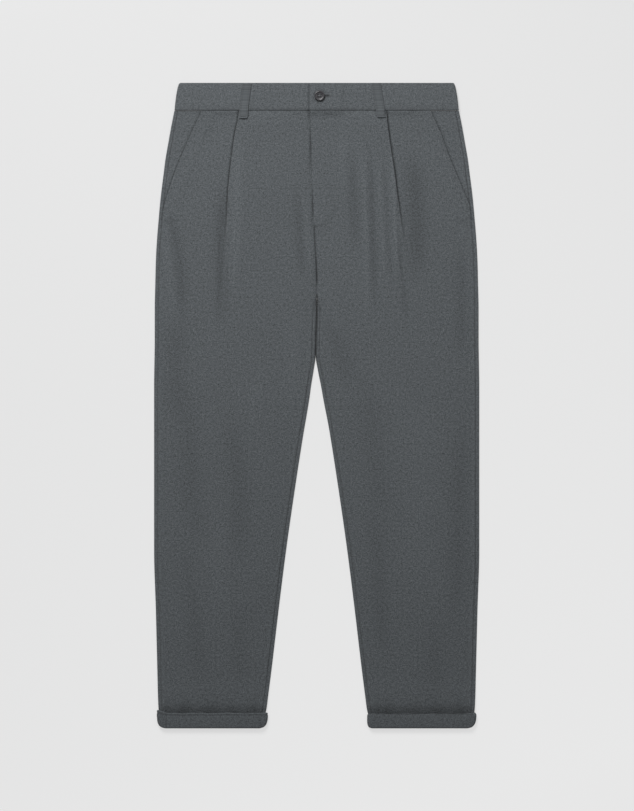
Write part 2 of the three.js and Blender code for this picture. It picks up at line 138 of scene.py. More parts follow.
# Creases of the fronts: the x and the y of three points of the path, half width, and height (a trough
# below 0).
CREASES = {
    "right": (
        ((-142, -147, -146), (350, 250, 110), 9, -1.3),
        ((-134, -141, -146), (330, 230, 120), 3.2, 0.7),
        ((-118, -122, -128), (440, 320, 150), 9, 0.8),
        ((-228, -212, -207), (300, 215, 120), 9, -1),
        ((-236, -226, -214), (280, 200, 110), 6, 0.5),
        ((-210, -218, -214), (140, 60, -40), 17.4, -0.61),
        ((-28, -25, -20), (335, 260, 190), 7, -0.9),
        ((-20, -13, -8), (330, 260, 200), 4, 0.6),
        ((-40, -36, -44), (160, 60, -40), 11.6, 0.33),
        ((-200, -196, -184), (30, -110, -230), 17.4, -0.55),
        ((-140, -118, -124), (0, -150, -260), 15.9, -0.55),
        ((-152, -152, -148), (-160, -250, -340), 14.5, 0.39),
        ((-92, -96, -98), (40, -10, -50), 8.7, 0.33),
        ((-205, -190, -178), (-220, -330, -440), 13, -0.44),
        ((-112, -120, -116), (-300, -390, -450), 14.5, -0.39),
    ),
    "left": (
        ((146, 156, 158), (400, 310, 180), 15, -1.2),
        ((116, 121, 126), (410, 320, 180), 3.6, 0.9),
        ((104, 110, 118), (400, 300, 170), 3.4, -0.5),
        ((97, 101, 106), (400, 310, 180), 3.6, 0.6),
        ((83, 88, 91), (410, 280, 130), 4.5, -1.1),
        ((72, 77, 80), (420, 250, 120), 4.5, 0.7),
        ((52, 58, 62), (400, 330, 230), 9, -0.8),
        ((40, 42, 46), (430, 380, 320), 6, 0.4),
        ((128, 134, 142), (270, 200, 115), 4, -0.7),
        ((10, 32, 52), (140, 95, 20), 15.9, -0.61),
        ((14, 24, 36), (200, 150, 100), 8.7, 0.28),
        ((74, 92, 104), (60, -90, -200), 17.4, -0.44),
        ((86, 100, 106), (-150, -300, -420), 13, -0.55),
        ((150, 156, 160), (40, -150, -330), 37.7, 0.39),
        ((226, 222, 216), (0, -160, -380), 14.5, -0.55),
        ((222, 226, 224), (260, 170, 60), 9, -0.6),
        ((178, 184, 190), (-330, -400, -455), 13, -0.33),
    ),
}

# Puckers of a leg where it goes into its turn-up: centre x, half width, depth.
PUCKERS = {
    "right": (
        (-236, 7, 1.0), (-206, 11, 1.2), (-166, 14, 0.9), (-130, 8, 0.7), (-96, 7, 0.9), (-82, 4, 1.1),
    ),
    "left": ((92, 6, 0.8), (110, 9, 1.0), (150, 16, 0.6), (188, 12, 0.9), (224, 8, 1.0)),
}


# Top stitching of the fly: points in x and y.
J_STITCH = [(30, 452), (31, 400), (31.5, 330), (30.5, 310), (27, 298), (20, 288), (12, 281), (6, 278.5)]


# ---- Curves and profiles --------------------------------------------------------------------------
def at(table, name, y):
    """Column `name` at heights y: a cubic through the rows that never runs past them.

    A row's slope is the harmonic mean of the slopes on its two sides, and 0 where they differ in sign.
    """
    ys, vs = table["y"], table[name]
    slant = np.diff(vs) / np.diff(ys)
    product = slant[:-1] * slant[1:]
    total = np.where(product > 0, slant[:-1] + slant[1:], 1.0)
    inner = np.where(product > 0, 2 * product / total, 0.0)
    slope = np.concatenate([slant[:1], inner, slant[-1:]])
    y = np.clip(y, ys[0], ys[-1])
    i = np.clip(np.searchsorted(ys, y, side="right") - 1, 0, len(ys) - 2)
    h = ys[i + 1] - ys[i]
    t = (y - ys[i]) / h
    return (
        (2 * t**3 - 3 * t**2 + 1) * vs[i] + (t**3 - 2 * t**2 + t) * h * slope[i]
        + (3 * t**2 - 2 * t**3) * vs[i + 1] + (t**3 - t**2) * h * slope[i + 1]
    )


def step(a, b, x):
    """Smooth step from 0 at a to 1 at b."""
    t = np.clip((x - a) / (b - a), 0, 1)
    return t * t * (3 - 2 * t)


def bell(d, width):
    """exp(-(d / width)^2): 1 on a line and fading to both sides of it."""
    return np.exp(-((d / width) ** 2))


def wobble(t, *terms):
    """Sum of amount * sin(2 pi t / length + phase) over the terms (amount, length, phase)."""
    return sum(a * np.sin(2 * np.pi * t / length + phase) for a, length, phase in terms)


def crease_height(side, x, y):
    """Height of all creases: each is a bell across a path x(y), fading in and out along it."""
    total = np.zeros_like(x)
    for path_x, path_y, width, height in CREASES[side]:
        top, low = path_y[0], path_y[2]
        path = rows("y x", *zip(path_y, path_x))
        fade = 0.3 * (top - low)
        along = step(low - 10, low + fade, y) * (1 - step(top - fade, top + 10, y))
        total = total + height * along * bell(x - at(path, "x", y), width)
    return total * bpy.context.scene.chinos_sizes.crease


def pucker_height(side, x, y):
    """Troughs that run up from the turn-up: bells across, fading over 25 mm above it."""
    total = np.zeros_like(x)
    for centre, width, depth in PUCKERS[side]:
        lean = (y + 478) * 0.18 * np.sign(centre) * (1 if abs(centre) < 160 else -1)
        total = total - depth * bell(x - centre - lean, width) * step(-448, -476, y)
    return total


# ---- Meshes ---------------------------------------------------------------------------------------
def new_object(name, mesh):
    """An object at the origin, in the scene's own collection."""
    obj = bpy.data.objects.new(name, mesh)
    bpy.context.scene.collection.objects.link(obj)
    return obj


def grid_mesh(name, points, shade=None, closed_u=False, closed_v=False, flip=False):
    """A mesh from points of shape (n, m, 3) in mm: quads between neighbours, wrapped where closed.

    The map "cloth" holds each point's distance along the two directions of the grid, in metres, and
    the painted-shading attribute the given factor: painted shade below 1, painted highlight above it.
    """
    n, m = points.shape[:2]
    index = np.arange(n * m).reshape(n, m)
    i = np.arange(n if closed_u else n - 1)
    j = np.arange(m if closed_v else m - 1)
    i2, j2 = (i + 1) % n, (j + 1) % m
    quads = np.stack([
        index[np.ix_(i, j)], index[np.ix_(i2, j)], index[np.ix_(i2, j2)], index[np.ix_(i, j2)],
    ], axis=-1).reshape(-1, 4)
    if flip:
        quads = quads[:, ::-1]
    mesh = bpy.data.meshes.new(name)
    mesh.vertices.add(n * m)
    mesh.vertices.foreach_set("co", (points * MM).astype(np.float32).ravel())
    mesh.loops.add(quads.size)
    mesh.loops.foreach_set("vertex_index", quads.ravel().astype(np.int32))
    mesh.polygons.add(len(quads))
    mesh.polygons.foreach_set("loop_start", np.arange(0, quads.size, 4, dtype=np.int32))
    mesh.update(calc_edges=True)
    mesh.polygons.foreach_set("use_smooth", np.ones(len(quads), bool))
    across = np.zeros((n, m))
    across[1:] = np.cumsum(np.linalg.norm(np.diff(points, axis=0), axis=2), axis=0)
    across = across - across[n // 2]
    down = points[..., 1]
    uv = mesh.uv_layers.new(name="cloth")
    flat = np.stack([across.ravel()[quads.ravel()], down.ravel()[quads.ravel()]], axis=1) * MM
    uv.data.foreach_set("uv", flat.astype(np.float32).ravel())
    value = np.ones(n * m) if shade is None else shade.ravel()
    layer = mesh.attributes.new("shade", "FLOAT", "POINT")
    layer.data.foreach_set("value", value.astype(np.float32))
    return mesh


def capped(points):
    """Closes a tube (n sections of m points) at both ends by shrinking it to each end's middle."""
    first = points[:1].mean(axis=1, keepdims=True).repeat(points.shape[1], axis=1)
    last = points[-1:].mean(axis=1, keepdims=True).repeat(points.shape[1], axis=1)
    near_first = first * 0.5 + points[:1] * 0.5
    near_last = last * 0.5 + points[-1:] * 0.5
    return np.concatenate([first, near_first, points, near_last, last])


def weld(mesh):
    """Merges coincident points, so the poles of a capped tube are closed, and turns faces outwards."""
    work = bmesh.new()
    work.from_mesh(mesh)
    bmesh.ops.remove_doubles(work, verts=work.verts, dist=1e-7)
    bmesh.ops.recalc_face_normals(work, faces=work.faces)
    work.to_mesh(mesh)
    work.free()


def anchored(anchors, counts):
    """Columns between anchor lines: counts[k] equal steps from anchor k to the next, for each row."""
    parts = []
    for k, count in enumerate(counts):
        t = np.arange(count) / count
        parts.append(anchors[k][None, :] * (1 - t[:, None]) + anchors[k + 1][None, :] * t[:, None])
    parts.append(anchors[-1][None, :])
    return np.concatenate(parts)


def panel_rows(spacing=3.0):
    """Heights of the rows of a panel, from the waist seam to inside the turn-up."""
    top = BAND_SEAM_Y - 0.35
    edge = top - np.array([0, 0.4, 0.9, 1.6, 2.6, 4.0])
    count = int((edge[-1] - HEM_Y) / spacing)
    return np.concatenate([edge, np.linspace(edge[-1], HEM_Y, count)[1:]])


# ---- Materials ------------------------------------------------------------------------------------
# Noise of the twill in features to the metre, and the spacing and depth of its ribs in metres.
FINE_YARN = 600.0
COARSE_YARN = 260.0
CLOUDS = 14.0
TWILL_PITCH = 0.0011
TWILL_RELIEF = 0.00018


def nodes_of(tree):
    """Two short makers for a node tree: node(type, settings) and link(from socket, to socket)."""
    def node(kind, **settings):
        made = tree.nodes.new(kind)
        for key, value in settings.items():
            setattr(made, key, value)
        return made

    def link(a, b):
        tree.links.new(a, b)

    return node, link


def twill_group():
    """Node group: mottled yarn colour with painted shading, and the height of the diagonal weave, on the
    map "cloth".
    """
    name = "Mottled twill and painted shading"
    if name in bpy.data.node_groups:
        return bpy.data.node_groups[name]
    group = bpy.data.node_groups.new(name, "ShaderNodeTree")
    face = group.interface
    face.new_socket("Colour", in_out="INPUT", socket_type="NodeSocketColor")
    face.new_socket("Mottle", in_out="INPUT", socket_type="NodeSocketFloat")
    face.new_socket("Pitch", in_out="INPUT", socket_type="NodeSocketFloat")
    face.new_socket("Colour", in_out="OUTPUT", socket_type="NodeSocketColor")
    face.new_socket("Height", in_out="OUTPUT", socket_type="NodeSocketFloat")
    node, link = nodes_of(group)
    enter = node("NodeGroupInput")
    leave = node("NodeGroupOutput")
    uv = node("ShaderNodeUVMap", uv_map="cloth")
    shade = node("ShaderNodeAttribute", attribute_name="shade")

    def noise(scale, detail):
        made = node("ShaderNodeTexNoise")
        made.inputs["Scale"].default_value = scale
        made.inputs["Detail"].default_value = detail
        link(uv.outputs["UV"], made.inputs["Vector"])
        return made.outputs["Fac"]

    def maths(operation, a, b=0.0, c=None):
        made = node("ShaderNodeMath", operation=operation)
        for socket, value in zip(made.inputs, (a, b, c)):
            if value is None:
                continue
            if isinstance(value, (int, float)):
                socket.default_value = value
            else:
                link(value, socket)
        return made.outputs[0]

    fine = noise(FINE_YARN, 1.5)
    coarse = noise(COARSE_YARN, 2.0)
    cloudy = noise(CLOUDS, 2.0)
    blend = maths("ADD", maths("MULTIPLY", fine, 0.65), maths("MULTIPLY", coarse, 0.35))
    spread = maths("MULTIPLY", maths("SUBTRACT", blend, 0.5), enter.outputs["Mottle"])
    clouds = maths("MULTIPLY", maths("SUBTRACT", cloudy, 0.5), 0.10)
    factor = maths("ADD", maths("ADD", spread, clouds), 1.0)

    split = node("ShaderNodeSeparateXYZ")
    link(uv.outputs["UV"], split.inputs["Vector"])
    angle = 2 * math.pi
    slanting = maths("ADD", split.outputs["X"], split.outputs["Y"])
    diagonal = maths("DIVIDE", slanting, enter.outputs["Pitch"])
    ribs = maths("SINE", maths("MULTIPLY", diagonal, angle))
    breaks = maths("DIVIDE", split.outputs["Y"], enter.outputs["Pitch"])
    picks = maths("SINE", maths("MULTIPLY", breaks, 2.6 * angle))
    weave = maths("ADD", maths("MULTIPLY", ribs, 0.6), maths("MULTIPLY", picks, 0.4))
    relief = maths("ADD", maths("MULTIPLY", weave, 0.35), maths("MULTIPLY", fine, 0.9))
    link(relief, leave.inputs["Height"])
    woven = maths("MULTIPLY", factor, maths("ADD", maths("MULTIPLY", weave, 0.05), 1.0))
    # Painted shade and painted highlight: the colour is scaled by the mesh's painted-shading attribute.
    with_painted_shading = maths("MULTIPLY", woven, shade.outputs["Fac"])

    tint = node("ShaderNodeVectorMath", operation="SCALE")
    link(enter.outputs["Colour"], tint.inputs[0])
    link(with_painted_shading, tint.inputs["Scale"])
    link(tint.outputs["Vector"], leave.inputs["Colour"])
    return group


def twill_material(name, colour, mottle=3.0, roughness=0.9):
    """Matt cotton twill: the group's colour, painted shading included, and its height through a bump, with
    a little sheen.
    """
    if name in bpy.data.materials:
        return bpy.data.materials[name]
    material = bpy.data.materials.new(name)
    material.use_nodes = True
    tree = material.node_tree
    shader = tree.nodes["Principled BSDF"]
    shader.inputs["Roughness"].default_value = roughness
    shader.inputs["Specular IOR Level"].default_value = 0.25
    shader.inputs["Sheen Weight"].default_value = 0.12
    shader.inputs["Sheen Roughness"].default_value = 0.5
    node, link = nodes_of(tree)
    group = node("ShaderNodeGroup", node_tree=twill_group())
    group.inputs["Colour"].default_value = (*colour, 1.0)
    group.inputs["Mottle"].default_value = mottle
    group.inputs["Pitch"].default_value = TWILL_PITCH
    bump = node("ShaderNodeBump")
    bump.inputs["Distance"].default_value = TWILL_RELIEF
    bump.inputs["Strength"].default_value = 0.6
    link(group.outputs["Height"], bump.inputs["Height"])
    link(group.outputs["Colour"], shader.inputs["Base Color"])
    link(bump.outputs["Normal"], shader.inputs["Normal"])
    return material


def plain_material(name, colour, roughness):
    """Plastic or thread: a colour with fine variation on Object coordinates."""
    if name in bpy.data.materials:
        return bpy.data.materials[name]
    material = bpy.data.materials.new(name)
    material.use_nodes = True
    tree = material.node_tree
    shader = tree.nodes["Principled BSDF"]
    node, link = nodes_of(tree)
    place = node("ShaderNodeTexCoord")
    grain = node("ShaderNodeTexNoise")
    grain.inputs["Scale"].default_value = 900.0
    link(place.outputs["Object"], grain.inputs["Vector"])
    ramp = node("ShaderNodeMix", data_type="RGBA")
    ramp.inputs["A"].default_value = (*[c * 0.75 for c in colour], 1.0)
    ramp.inputs["B"].default_value = (*[min(c * 1.25, 1.0) for c in colour], 1.0)
    link(grain.outputs["Fac"], ramp.inputs["Factor"])
    link(ramp.outputs["Result"], shader.inputs["Base Color"])
    shader.inputs["Roughness"].default_value = roughness
    return material


def dress(obj, material, slot, *nodes):
    """Gives a finished piece its material and its body, and hides the CAD nodes it stands for; slot is not
    used.
    """
    obj.data.materials.append(material)
    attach(obj, "root")
    if nodes:
        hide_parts(*nodes)
    return obj


# ---- Settings -------------------------------------------------------------------------------------
class ChinosSizes(bpy.types.PropertyGroup):
    cloth: FloatProperty(
        name="Cloth", description="Thickness of one ply of twill", default=0.0007, min=0.0003,
        unit="LENGTH", precision=4,
    )
    crease: FloatProperty(
        name="Crease depth", description="How deep the creases are against those of the table",
        default=1.7, min=0.0, max=2.0, subtype="FACTOR",
    )
    stitch: FloatProperty(
        name="Stitch", description="Length of one stitch", default=0.0026, min=0.001, unit="LENGTH",
        precision=4,
    )
    thread: FloatProperty(
        name="Thread", description="Thickness of the sewing thread", default=0.0004, min=0.0001,
        unit="LENGTH", precision=4,
    )


class ChinosColours(bpy.types.PropertyGroup):
    twill: FloatVectorProperty(
        name="Twill", description="Slate grey of the cloth", subtype="COLOR", size=3, min=0, max=1,
        default=(0.0675, 0.0745, 0.0795),
    )
    thread: FloatVectorProperty(
        name="Thread", description="Colour of the sewing thread", subtype="COLOR", size=3, min=0, max=1,
        default=(0.055, 0.060, 0.064),
    )
    button: FloatVectorProperty(
        name="Button", description="Dark grey of the button", subtype="COLOR", size=3, min=0, max=1,
        default=(0.020, 0.019, 0.022),
    )
    floor: FloatVectorProperty(
        name="Floor", description="Pale grey of the floor", subtype="COLOR", size=3, min=0, max=1,
        default=(0.791, 0.791, 0.791),
    )


def lay_cloth(node, points, shade, flip):
    """A panel of one ply: the grid is its middle surface, thickened by half a ply to each side."""
    mesh = grid_mesh(f"{node}_cloth", points, np.clip(shade, *PAINTED_SHADING_RANGE), flip=flip)
    obj = new_object(mesh.name, mesh)
    wall = obj.modifiers.new("Wall", "SOLIDIFY")
    wall.thickness = bpy.context.scene.chinos_sizes.cloth
    wall.offset = 0.0
    colours = bpy.context.scene.chinos_colours
    return dress(obj, twill_material("Twill", colours.twill), "twill", node)


# ---- Fronts ---------------------------------------------------------------------------------------
def inside_edge(y):
    """The back's inside edge: v in from the leg's laid edge and height, over t from its free end.

    A strip of fixed length lies flat above the crotch and curls up into a half turn below it:
    v = v0 - R sin(a), height = R (1 - cos a), a from 0 to the roll, R = length / roll, and a straight
    stretch up to the inseam follows on top.
    """
    roll = np.maximum(np.pi * step(ROLL_FROM_Y, ROLL_DONE_Y, y), 1e-4)
    radius = (FRONT_LEVEL - BACK_LEVEL) / 2
    arc = np.pi * radius
    half = 0.35
    tip = 0.3 + (SEAM_INSET - 0.15 - radius - half - 0.3) * (roll / np.pi) ** 2
    bend = arc / roll
    early = np.minimum(roll, np.pi / 2)
    start = bend * np.sin(early) + tip * np.maximum(np.cos(roll), 0) + half * np.sin(early)
    part = np.linspace(0, 1, 9)[:, None]
    v = start - bend * np.sin(roll * part)
    height = bend * (1 - np.cos(roll * part))
    end_v = v[-1] - tip * np.cos(roll) * np.linspace(0.33, 1, 3)[:, None]
    end_height = height[-1] + tip * np.sin(roll) * np.linspace(0.33, 1, 3)[:, None]
    return np.concatenate([v, end_v])[::-1], BACK_LEVEL + np.concatenate([height, end_height])[::-1]


def laid_edge(y, side):
    """u of the leg's inside edge, or of the middle line above the crotch."""
    middle = SIDES[side] * at(OUTLINE, "line", y) * step(200, 180, y)
    return middle + at(OUTLINE, "inner", y)


def front_edge(y, side):
    """u of the front's inner edge: the fly above, the rise seam below it, then the inseam."""
    sign = SIDES[side]
    line = sign * at(OUTLINE, "line", y)
    v, _ = inside_edge(y)
    roll = step(ROLL_FROM_Y, ROLL_DONE_Y, y)
    seam = line + at(OUTLINE, "inner", y) + (v[0] + 0.3 + 0.5 * np.sin(np.pi * roll)) * roll
    if side == "left":
        return seam
    underlap = step(276, 296, y)
    return seam * (1 - underlap) + underlap * -14.0


def band_top_level(x):
    """Height of the top of the band's front: higher where the left end laps over the right."""
    return BAND_FRONT + (BAND_LAP - BAND_FRONT) * step(48, 33, x) * (x > BAND_END_X - 0.01) + BAND_HALF


def front_grid(side):
    """Points of a front: u from the fly to the pocket edge or side seam, folded under at the pleat.

    Height here is PLY for each ply of the pleat's fold; make_front adds the level of the lowest ply,
    the leg's fullness (a sine across), the creases, the lap of the fly and the rise over the hip facing.
    """
    sign = SIDES[side]
    y = panel_rows()
    edge = front_edge(y, side)
    outer = at(OUTLINE, "outer", y)
    seam = outer - SEAM_INSET - 0.15
    pocket_reach = np.where(y > POCKET_END_Y - 0.01, at(POCKET, side, y), 1e3)
    hem = np.minimum(pocket_reach, seam)
    fold = at(PLEAT, side, y)
    depth = at(PLEAT, "depth", y)
    closed = np.clip(at(PLEAT, "closed", y), 0, 1)
    open_by = 9 * (1 - closed)
    anchors = [
        edge, edge + 1.2, edge + 5, edge + 0.35 * (fold - edge), edge + 0.72 * (fold - edge),
        fold - 9 - open_by, fold - 1.2 - 0.5 * open_by, fold - 0.1 * open_by,
    ]
    top = anchored(anchors, [3, 3, 10, 12, 10, 6, 3])
    half = np.linspace(0, np.pi, 7)[1:-1, None]
    ramp = np.linspace(0.2, 1, 5)[:, None]
    turn_out = fold + (PLY / 2 * np.sin(half)) * closed + open_by * 0.25 * ramp
    back_in = anchored([fold + 0.3 * open_by, fold - depth * closed + 0.5 * open_by], [5])
    turn_in = fold - depth * closed - (PLY / 2 * np.sin(half)) * closed + open_by * (0.5 + 0.2 * ramp)
    start = fold - depth * closed + 0.8 * open_by
    after = fold + 1.4 + 0.9 * open_by
    low = anchored(
        [start, after, after + 6, hem - 24, hem - 6, hem - 3.6, hem - 2.4, hem - 0.8, hem],
        [5, 4, 14, 8, 2, 2, 2, 2],
    )
    u = np.concatenate([top, turn_out, back_in, turn_in, low])
    plies = np.concatenate([
        np.full(len(top), 2.0), 1.5 + 0.5 * np.cos(half[:, 0]), np.full(len(back_in), 1.0),
        0.5 + 0.5 * np.cos(half[:, 0]), np.zeros(len(low)),
    ])[:, None] * np.ones_like(u)
    yy = np.broadcast_to(y, u.shape)
    # The top ply comes down to the lowest level between the pleat and the fly.
    climb = step(0.05, 0.75, (u - edge) / np.maximum(fold - 12 - edge, 1))
    on_top = np.arange(len(u))[:, None] < len(top)
    height = plies * PLY * closed * np.where(on_top, climb, 1.0)
    return sign, yy, u, height, edge, hem, fold, closed


def front_painted_shading(side, x, yy, u, edge, hem, fold, closed, folds, puckers, ridges):
    """Painted shading, a factor on the cloth's colour: 1, less a bell of painted shade along each seam,
    fold edge and row of stitches, more or less with crease height: painted shade in troughs, highlight on
    ridges."""
    # Painted shade along the waist seam, then along the side seam and the inseam.
    shade = 1 - 0.16 * bell(yy - BAND_SEAM_Y, 1.5)
    seam_painted_shade = bell(hem - u, 0.9) * step(300, 285, yy) + bell(u - edge, 0.9) * step(110, 70, yy)
    shade = shade - 0.06 * seam_painted_shade
    # Painted shade in crease troughs and puckers, painted highlight on crease ridges, then a painted
    # highlight on the seam-allowance ridges.
    shade = shade + np.where(folds < 0, TROUGH_PAINTED_SHADE, RIDGE_PAINTED_HIGHLIGHT) * folds + PUCKER_PAINTED_SHADE * puckers
    shade = shade + 0.10 * ridges
    # Painted shadow on the ply beside the pleat's fold edge.
    outside_fold = (np.arange(len(u))[:, None] > LAST_FOLDED_COLUMN) & (u > fold - 0.5)
    shade = shade - PLEAT_PAINTED_SHADOW[side] * closed * bell(u - fold - 0.9, 2.2) * outside_fold
    # Painted shade where the rise seam sinks between the legs.
    sunk = step(250, 190, yy) * step(140, 172, yy)
    shade = shade - 0.4 * bell(u - edge, 1.2) * sunk * step(170, 200, yy)
    rise = step(300, 270, yy) * step(180, 200, yy)
    if side == "right":
        # Painted shadow beside the left front's fly edge lapped over the right, and painted shade along the
        # rise seam.
        lap = -at(OUTLINE, "line", yy)
        shade = shade - 0.6 * bell(u - lap - 0.4, 2.0) * step(265, 300, yy)
        shade = shade - 0.6 * bell(u - edge, 1.8) * rise
    else:
        # Painted shade along the fly's top stitching, and a painted shade spot at the fly's bar tack.
        curve = np.array(J_STITCH, float)
        t = np.linspace(3, len(curve) - 1, 60)
        stitched = np.stack([np.interp(t, np.arange(len(curve)), curve[:, k]) for k in range(2)])
        off = np.hypot(x[..., None] - stitched[0], yy[..., None] - stitched[1]).min(axis=-1)
        shade = shade - 0.16 * bell(off, 1.6)
        shade = shade - 0.35 * bell(np.hypot((x + 2.5) / 2.2, yy - 278), 1.3)
        # Painted shade along the rise seam.
        shade = shade - 0.25 * bell(u - edge, 1.4) * rise
    # Painted shade on the leg just above its turn-up.
    return shade - ABOVE_TURN_UP_PAINTED_SHADE * step(-458, -477, yy)


def make_front(side):
    """A front from front_grid, its height summed from its level, fullness, creases, laps and seams."""
    sign, yy, u, height, edge, hem, fold, closed = front_grid(side)
    x = sign * u
    across = np.clip((u - edge) / (hem - edge), 0, 1)
    crown = at(FULLNESS, "crown", yy) * np.sin(np.pi * across) ** 0.6
    flat_at_edges = step(0, 10, u - edge) * step(0, 10, hem - u)
    folds = crease_height(side, x, yy) * flat_at_edges * step(455, 425, yy)
    puckers = pucker_height(side, x, yy) * flat_at_edges
    z = FRONT_LEVEL + at(LIFT, "lift", yy) + np.maximum(crown + folds + puckers, -0.6) + height
    over_facing = step(281, 292, yy) * step(30, 19, hem - u)
    z = z + 1.0 * over_facing
    if side == "left":
        z = z + 1.05 * step(30, 16, u - edge) * step(262, 284, yy)
    # Seam allowances make a low ridge beside the side seam and the inseam, and a ditch at the seam.
    ridge = 0.4 * bell(hem - u - 2.6, 1.8) * step(300, 270, yy)
    inseam = 0.4 * bell(u - edge - 2.6, 1.8) * step(170, 140, yy)
    ditch = 0.3 * (bell(hem - u, 0.8) * step(300, 285, yy) + bell(u - edge, 0.8) * step(150, 130, yy))
    z = z + ridge + inseam - ditch
    # The rise seam sinks between the legs towards the crotch.
    sunk = step(250, 190, yy) * step(140, 172, yy)
    z = z - 1.1 * bell(u - edge, 3.0) * sunk
    # At the top the cloth goes into the band.
    into_band = step(446, BAND_SEAM_Y, yy)
    target = band_top_level(x) - 0.75
    z = z * (1 - into_band) + target * into_band - 0.35 * bell(yy - BAND_SEAM_Y, 1.2)
    points = np.stack([x, yy, z], axis=-1)
    # The seam-allowance ridges get a painted highlight, and seams, folds and creases painted shade.
    ridges = ridge + inseam * step(110, 70, yy)
    shade = front_painted_shading(side, x, yy, u, edge, hem, fold, closed, folds, puckers, ridges)
    obj = lay_cloth(f"front_{side}", points, shade, sign > 0)


class CHINOS_OT_fronts(bpy.types.Operator):
    """Right and left front, each with its pleat, fly edge and pocket edge"""
    bl_idname = "chinos.fronts"
    bl_label = "Fronts"

    def execute(self, context):
        for side in SIDES:
            make_front(side)
        return {"FINISHED"}


# ---- Backs ----------------------------------------------------------------------------------------
def make_back(side):
    """A back: from the inseam over the inside edge, along the floor, round the side edge to its seam."""
    sign = SIDES[side]
    y = panel_rows(4.0)
    outer = at(OUTLINE, "outer", y)
    v, inner_height = inside_edge(y)
    inside = laid_edge(y, side) + v
    radius = (FRONT_LEVEL - BACK_LEVEL) / 2
    centre = outer - radius - 0.35
    angle = np.linspace(-np.pi / 2, np.pi / 2, 11)[:, None]
    round_u = centre + radius * np.cos(angle)
    round_height = BACK_LEVEL + radius + radius * np.sin(angle)
    flat = anchored([inside[-1], centre + 0 * y], [28])[1:-1]
    tip = centre + (outer - SEAM_INSET + 0.15 - centre) * np.array([0.3, 0.6, 0.85, 1.0])[:, None]
    u = np.concatenate([inside, flat, round_u, tip])
    height = np.concatenate([
        inner_height, np.full_like(flat, BACK_LEVEL), round_height * np.ones_like(y),
        np.full_like(tip, FRONT_LEVEL),
    ])
    yy = np.broadcast_to(y, u.shape)
    count = len(inside) + len(flat)
    on_side = np.arange(len(u))[:, None] >= count
    seam_u = outer - SEAM_INSET + 0.15
    height = height - 0.25 * on_side * bell(u - seam_u, 0.7) * (height > FRONT_LEVEL - 0.4)
    points = np.stack([sign * u, yy, height + at(LIFT, "lift", yy)], axis=-1)
    # Painted shade along the side seam and the inseam.
    shade = 1 - 0.10 * on_side * bell(u - seam_u, 0.9)
    on_inseam = np.arange(len(u))[:, None] < 2
    shade = shade - 0.06 * on_inseam * step(110, 70, yy)
    # Painted shadow where the two legs touch.
    touching = step(60, 80, yy) * step(200, 185, yy)
    shade = shade - 0.85 * touching * bell(u - laid_edge(y, side), 1.7)
    # Painted shade on the rolled edges just above the turn-up.
    shade = shade - 0.30 * step(-462, -477, yy) * (height > BACK_LEVEL + 0.3)
    obj = lay_cloth(f"back_{side}", points, shade, sign < 0)


class CHINOS_OT_backs(bpy.types.Operator):
    """Right and left back, rolled round the edges of the legs up to their seams"""
    bl_idname = "chinos.backs"
    bl_label = "Backs"

    def execute(self, context):
        for side in SIDES:
            make_back(side)
        return {"FINISHED"}


# ---- Hip facings ----------------------------------------------------------------------------------
def make_facing(side):
    """The piece behind a slanted pocket, from the side seam to 17 mm inside the pocket edge."""
    sign = SIDES[side]
    y = panel_rows()
    y = y[y > 284]
    seam = at(OUTLINE, "outer", y) - SEAM_INSET - 0.15
    pocket = np.minimum(at(POCKET, side, np.maximum(y, POCKET_END_Y)), seam)
    edge = pocket - 17
    u = anchored([edge, pocket - 2, pocket + 2.5, seam - 1.6 + 0 * y, seam], [6, 6, 8, 4])
    yy = np.broadcast_to(y, u.shape)
    z = FRONT_LEVEL + at(LIFT, "lift", yy) - 0.5 * bell(seam - u, 0.8) + 0.4 * bell(seam - u - 2.6, 1.6)
    into_band = step(446, BAND_SEAM_Y, yy)
    z = z * (1 - into_band) + (BAND_FRONT + BAND_HALF - 1.75) * into_band
    # Painted shade along the side seam, a painted shadow beside the pocket edge over the facing, and
    # painted shade along the waist seam.
    shade = 1 - 0.22 * bell(seam - u, 0.9) - 0.42 * bell(u - pocket - 0.6, 1.7)
    shade = shade - 0.16 * bell(yy - BAND_SEAM_Y, 1.5)
    points = np.stack([sign * u, yy, z], axis=-1)
    obj = lay_cloth(f"hip_facing_{side}", points, shade, sign > 0)


class CHINOS_OT_facings(bpy.types.Operator):
    """Hip facings behind the slanted pockets"""
    bl_idname = "chinos.facings"
    bl_label = "Hip facings"

    def execute(self, context):
        for side in SIDES:
            make_facing(side)
        return {"FINISHED"}


# ---- Waistband ------------------------------------------------------------------------------------
BAND = rows("y outer", (457, 220.5), (469, 219), (481, 217.4), (490, 215.8), (495, 214.8), (500, 212.6))
BAND_HEIGHT = {"right": 498.0, "left": 499.5}


def stadium(low, high, half, count=12, ends=5):
    """Closed outline of a flat strip with round long edges, as (along, out) from its outer face."""
    angle = np.linspace(-np.pi / 2, np.pi / 2, ends)
    straight = np.linspace(low + half, high - half, count)
    up = np.stack([straight, np.full(count, half)])
    over = np.stack([high - half + half * np.cos(angle[1:-1]), -half * np.sin(angle[1:-1])])
    down = np.stack([straight[::-1], np.full(count, -half)])
    under = np.stack([low + half - half * np.cos(angle[1:-1]), half * np.sin(angle[1:-1])])
    return np.concatenate([up, over, down, under], axis=1)


def band_route(side):
    """The front run of the band's middle: u and height from its front end to near the side edge."""
    lap = side == "left"
    end = BAND_END_X if lap else -30.0
    u = np.concatenate([np.linspace(end, end + 2, 4), np.linspace(end + 4, 190, 90)])
    z = BAND_FRONT + (BAND_LAP - BAND_FRONT) * (step(48, 33, u) if lap else 0 * u)
    return u, z


def spread(u, centre):
    """u up to 60, and beyond it stretched so that 190 comes to `centre`, row by row."""
    u = u[:, None]
    return np.where(u > 60, 60 + (u - 60) * (centre - 60) / 130, u)


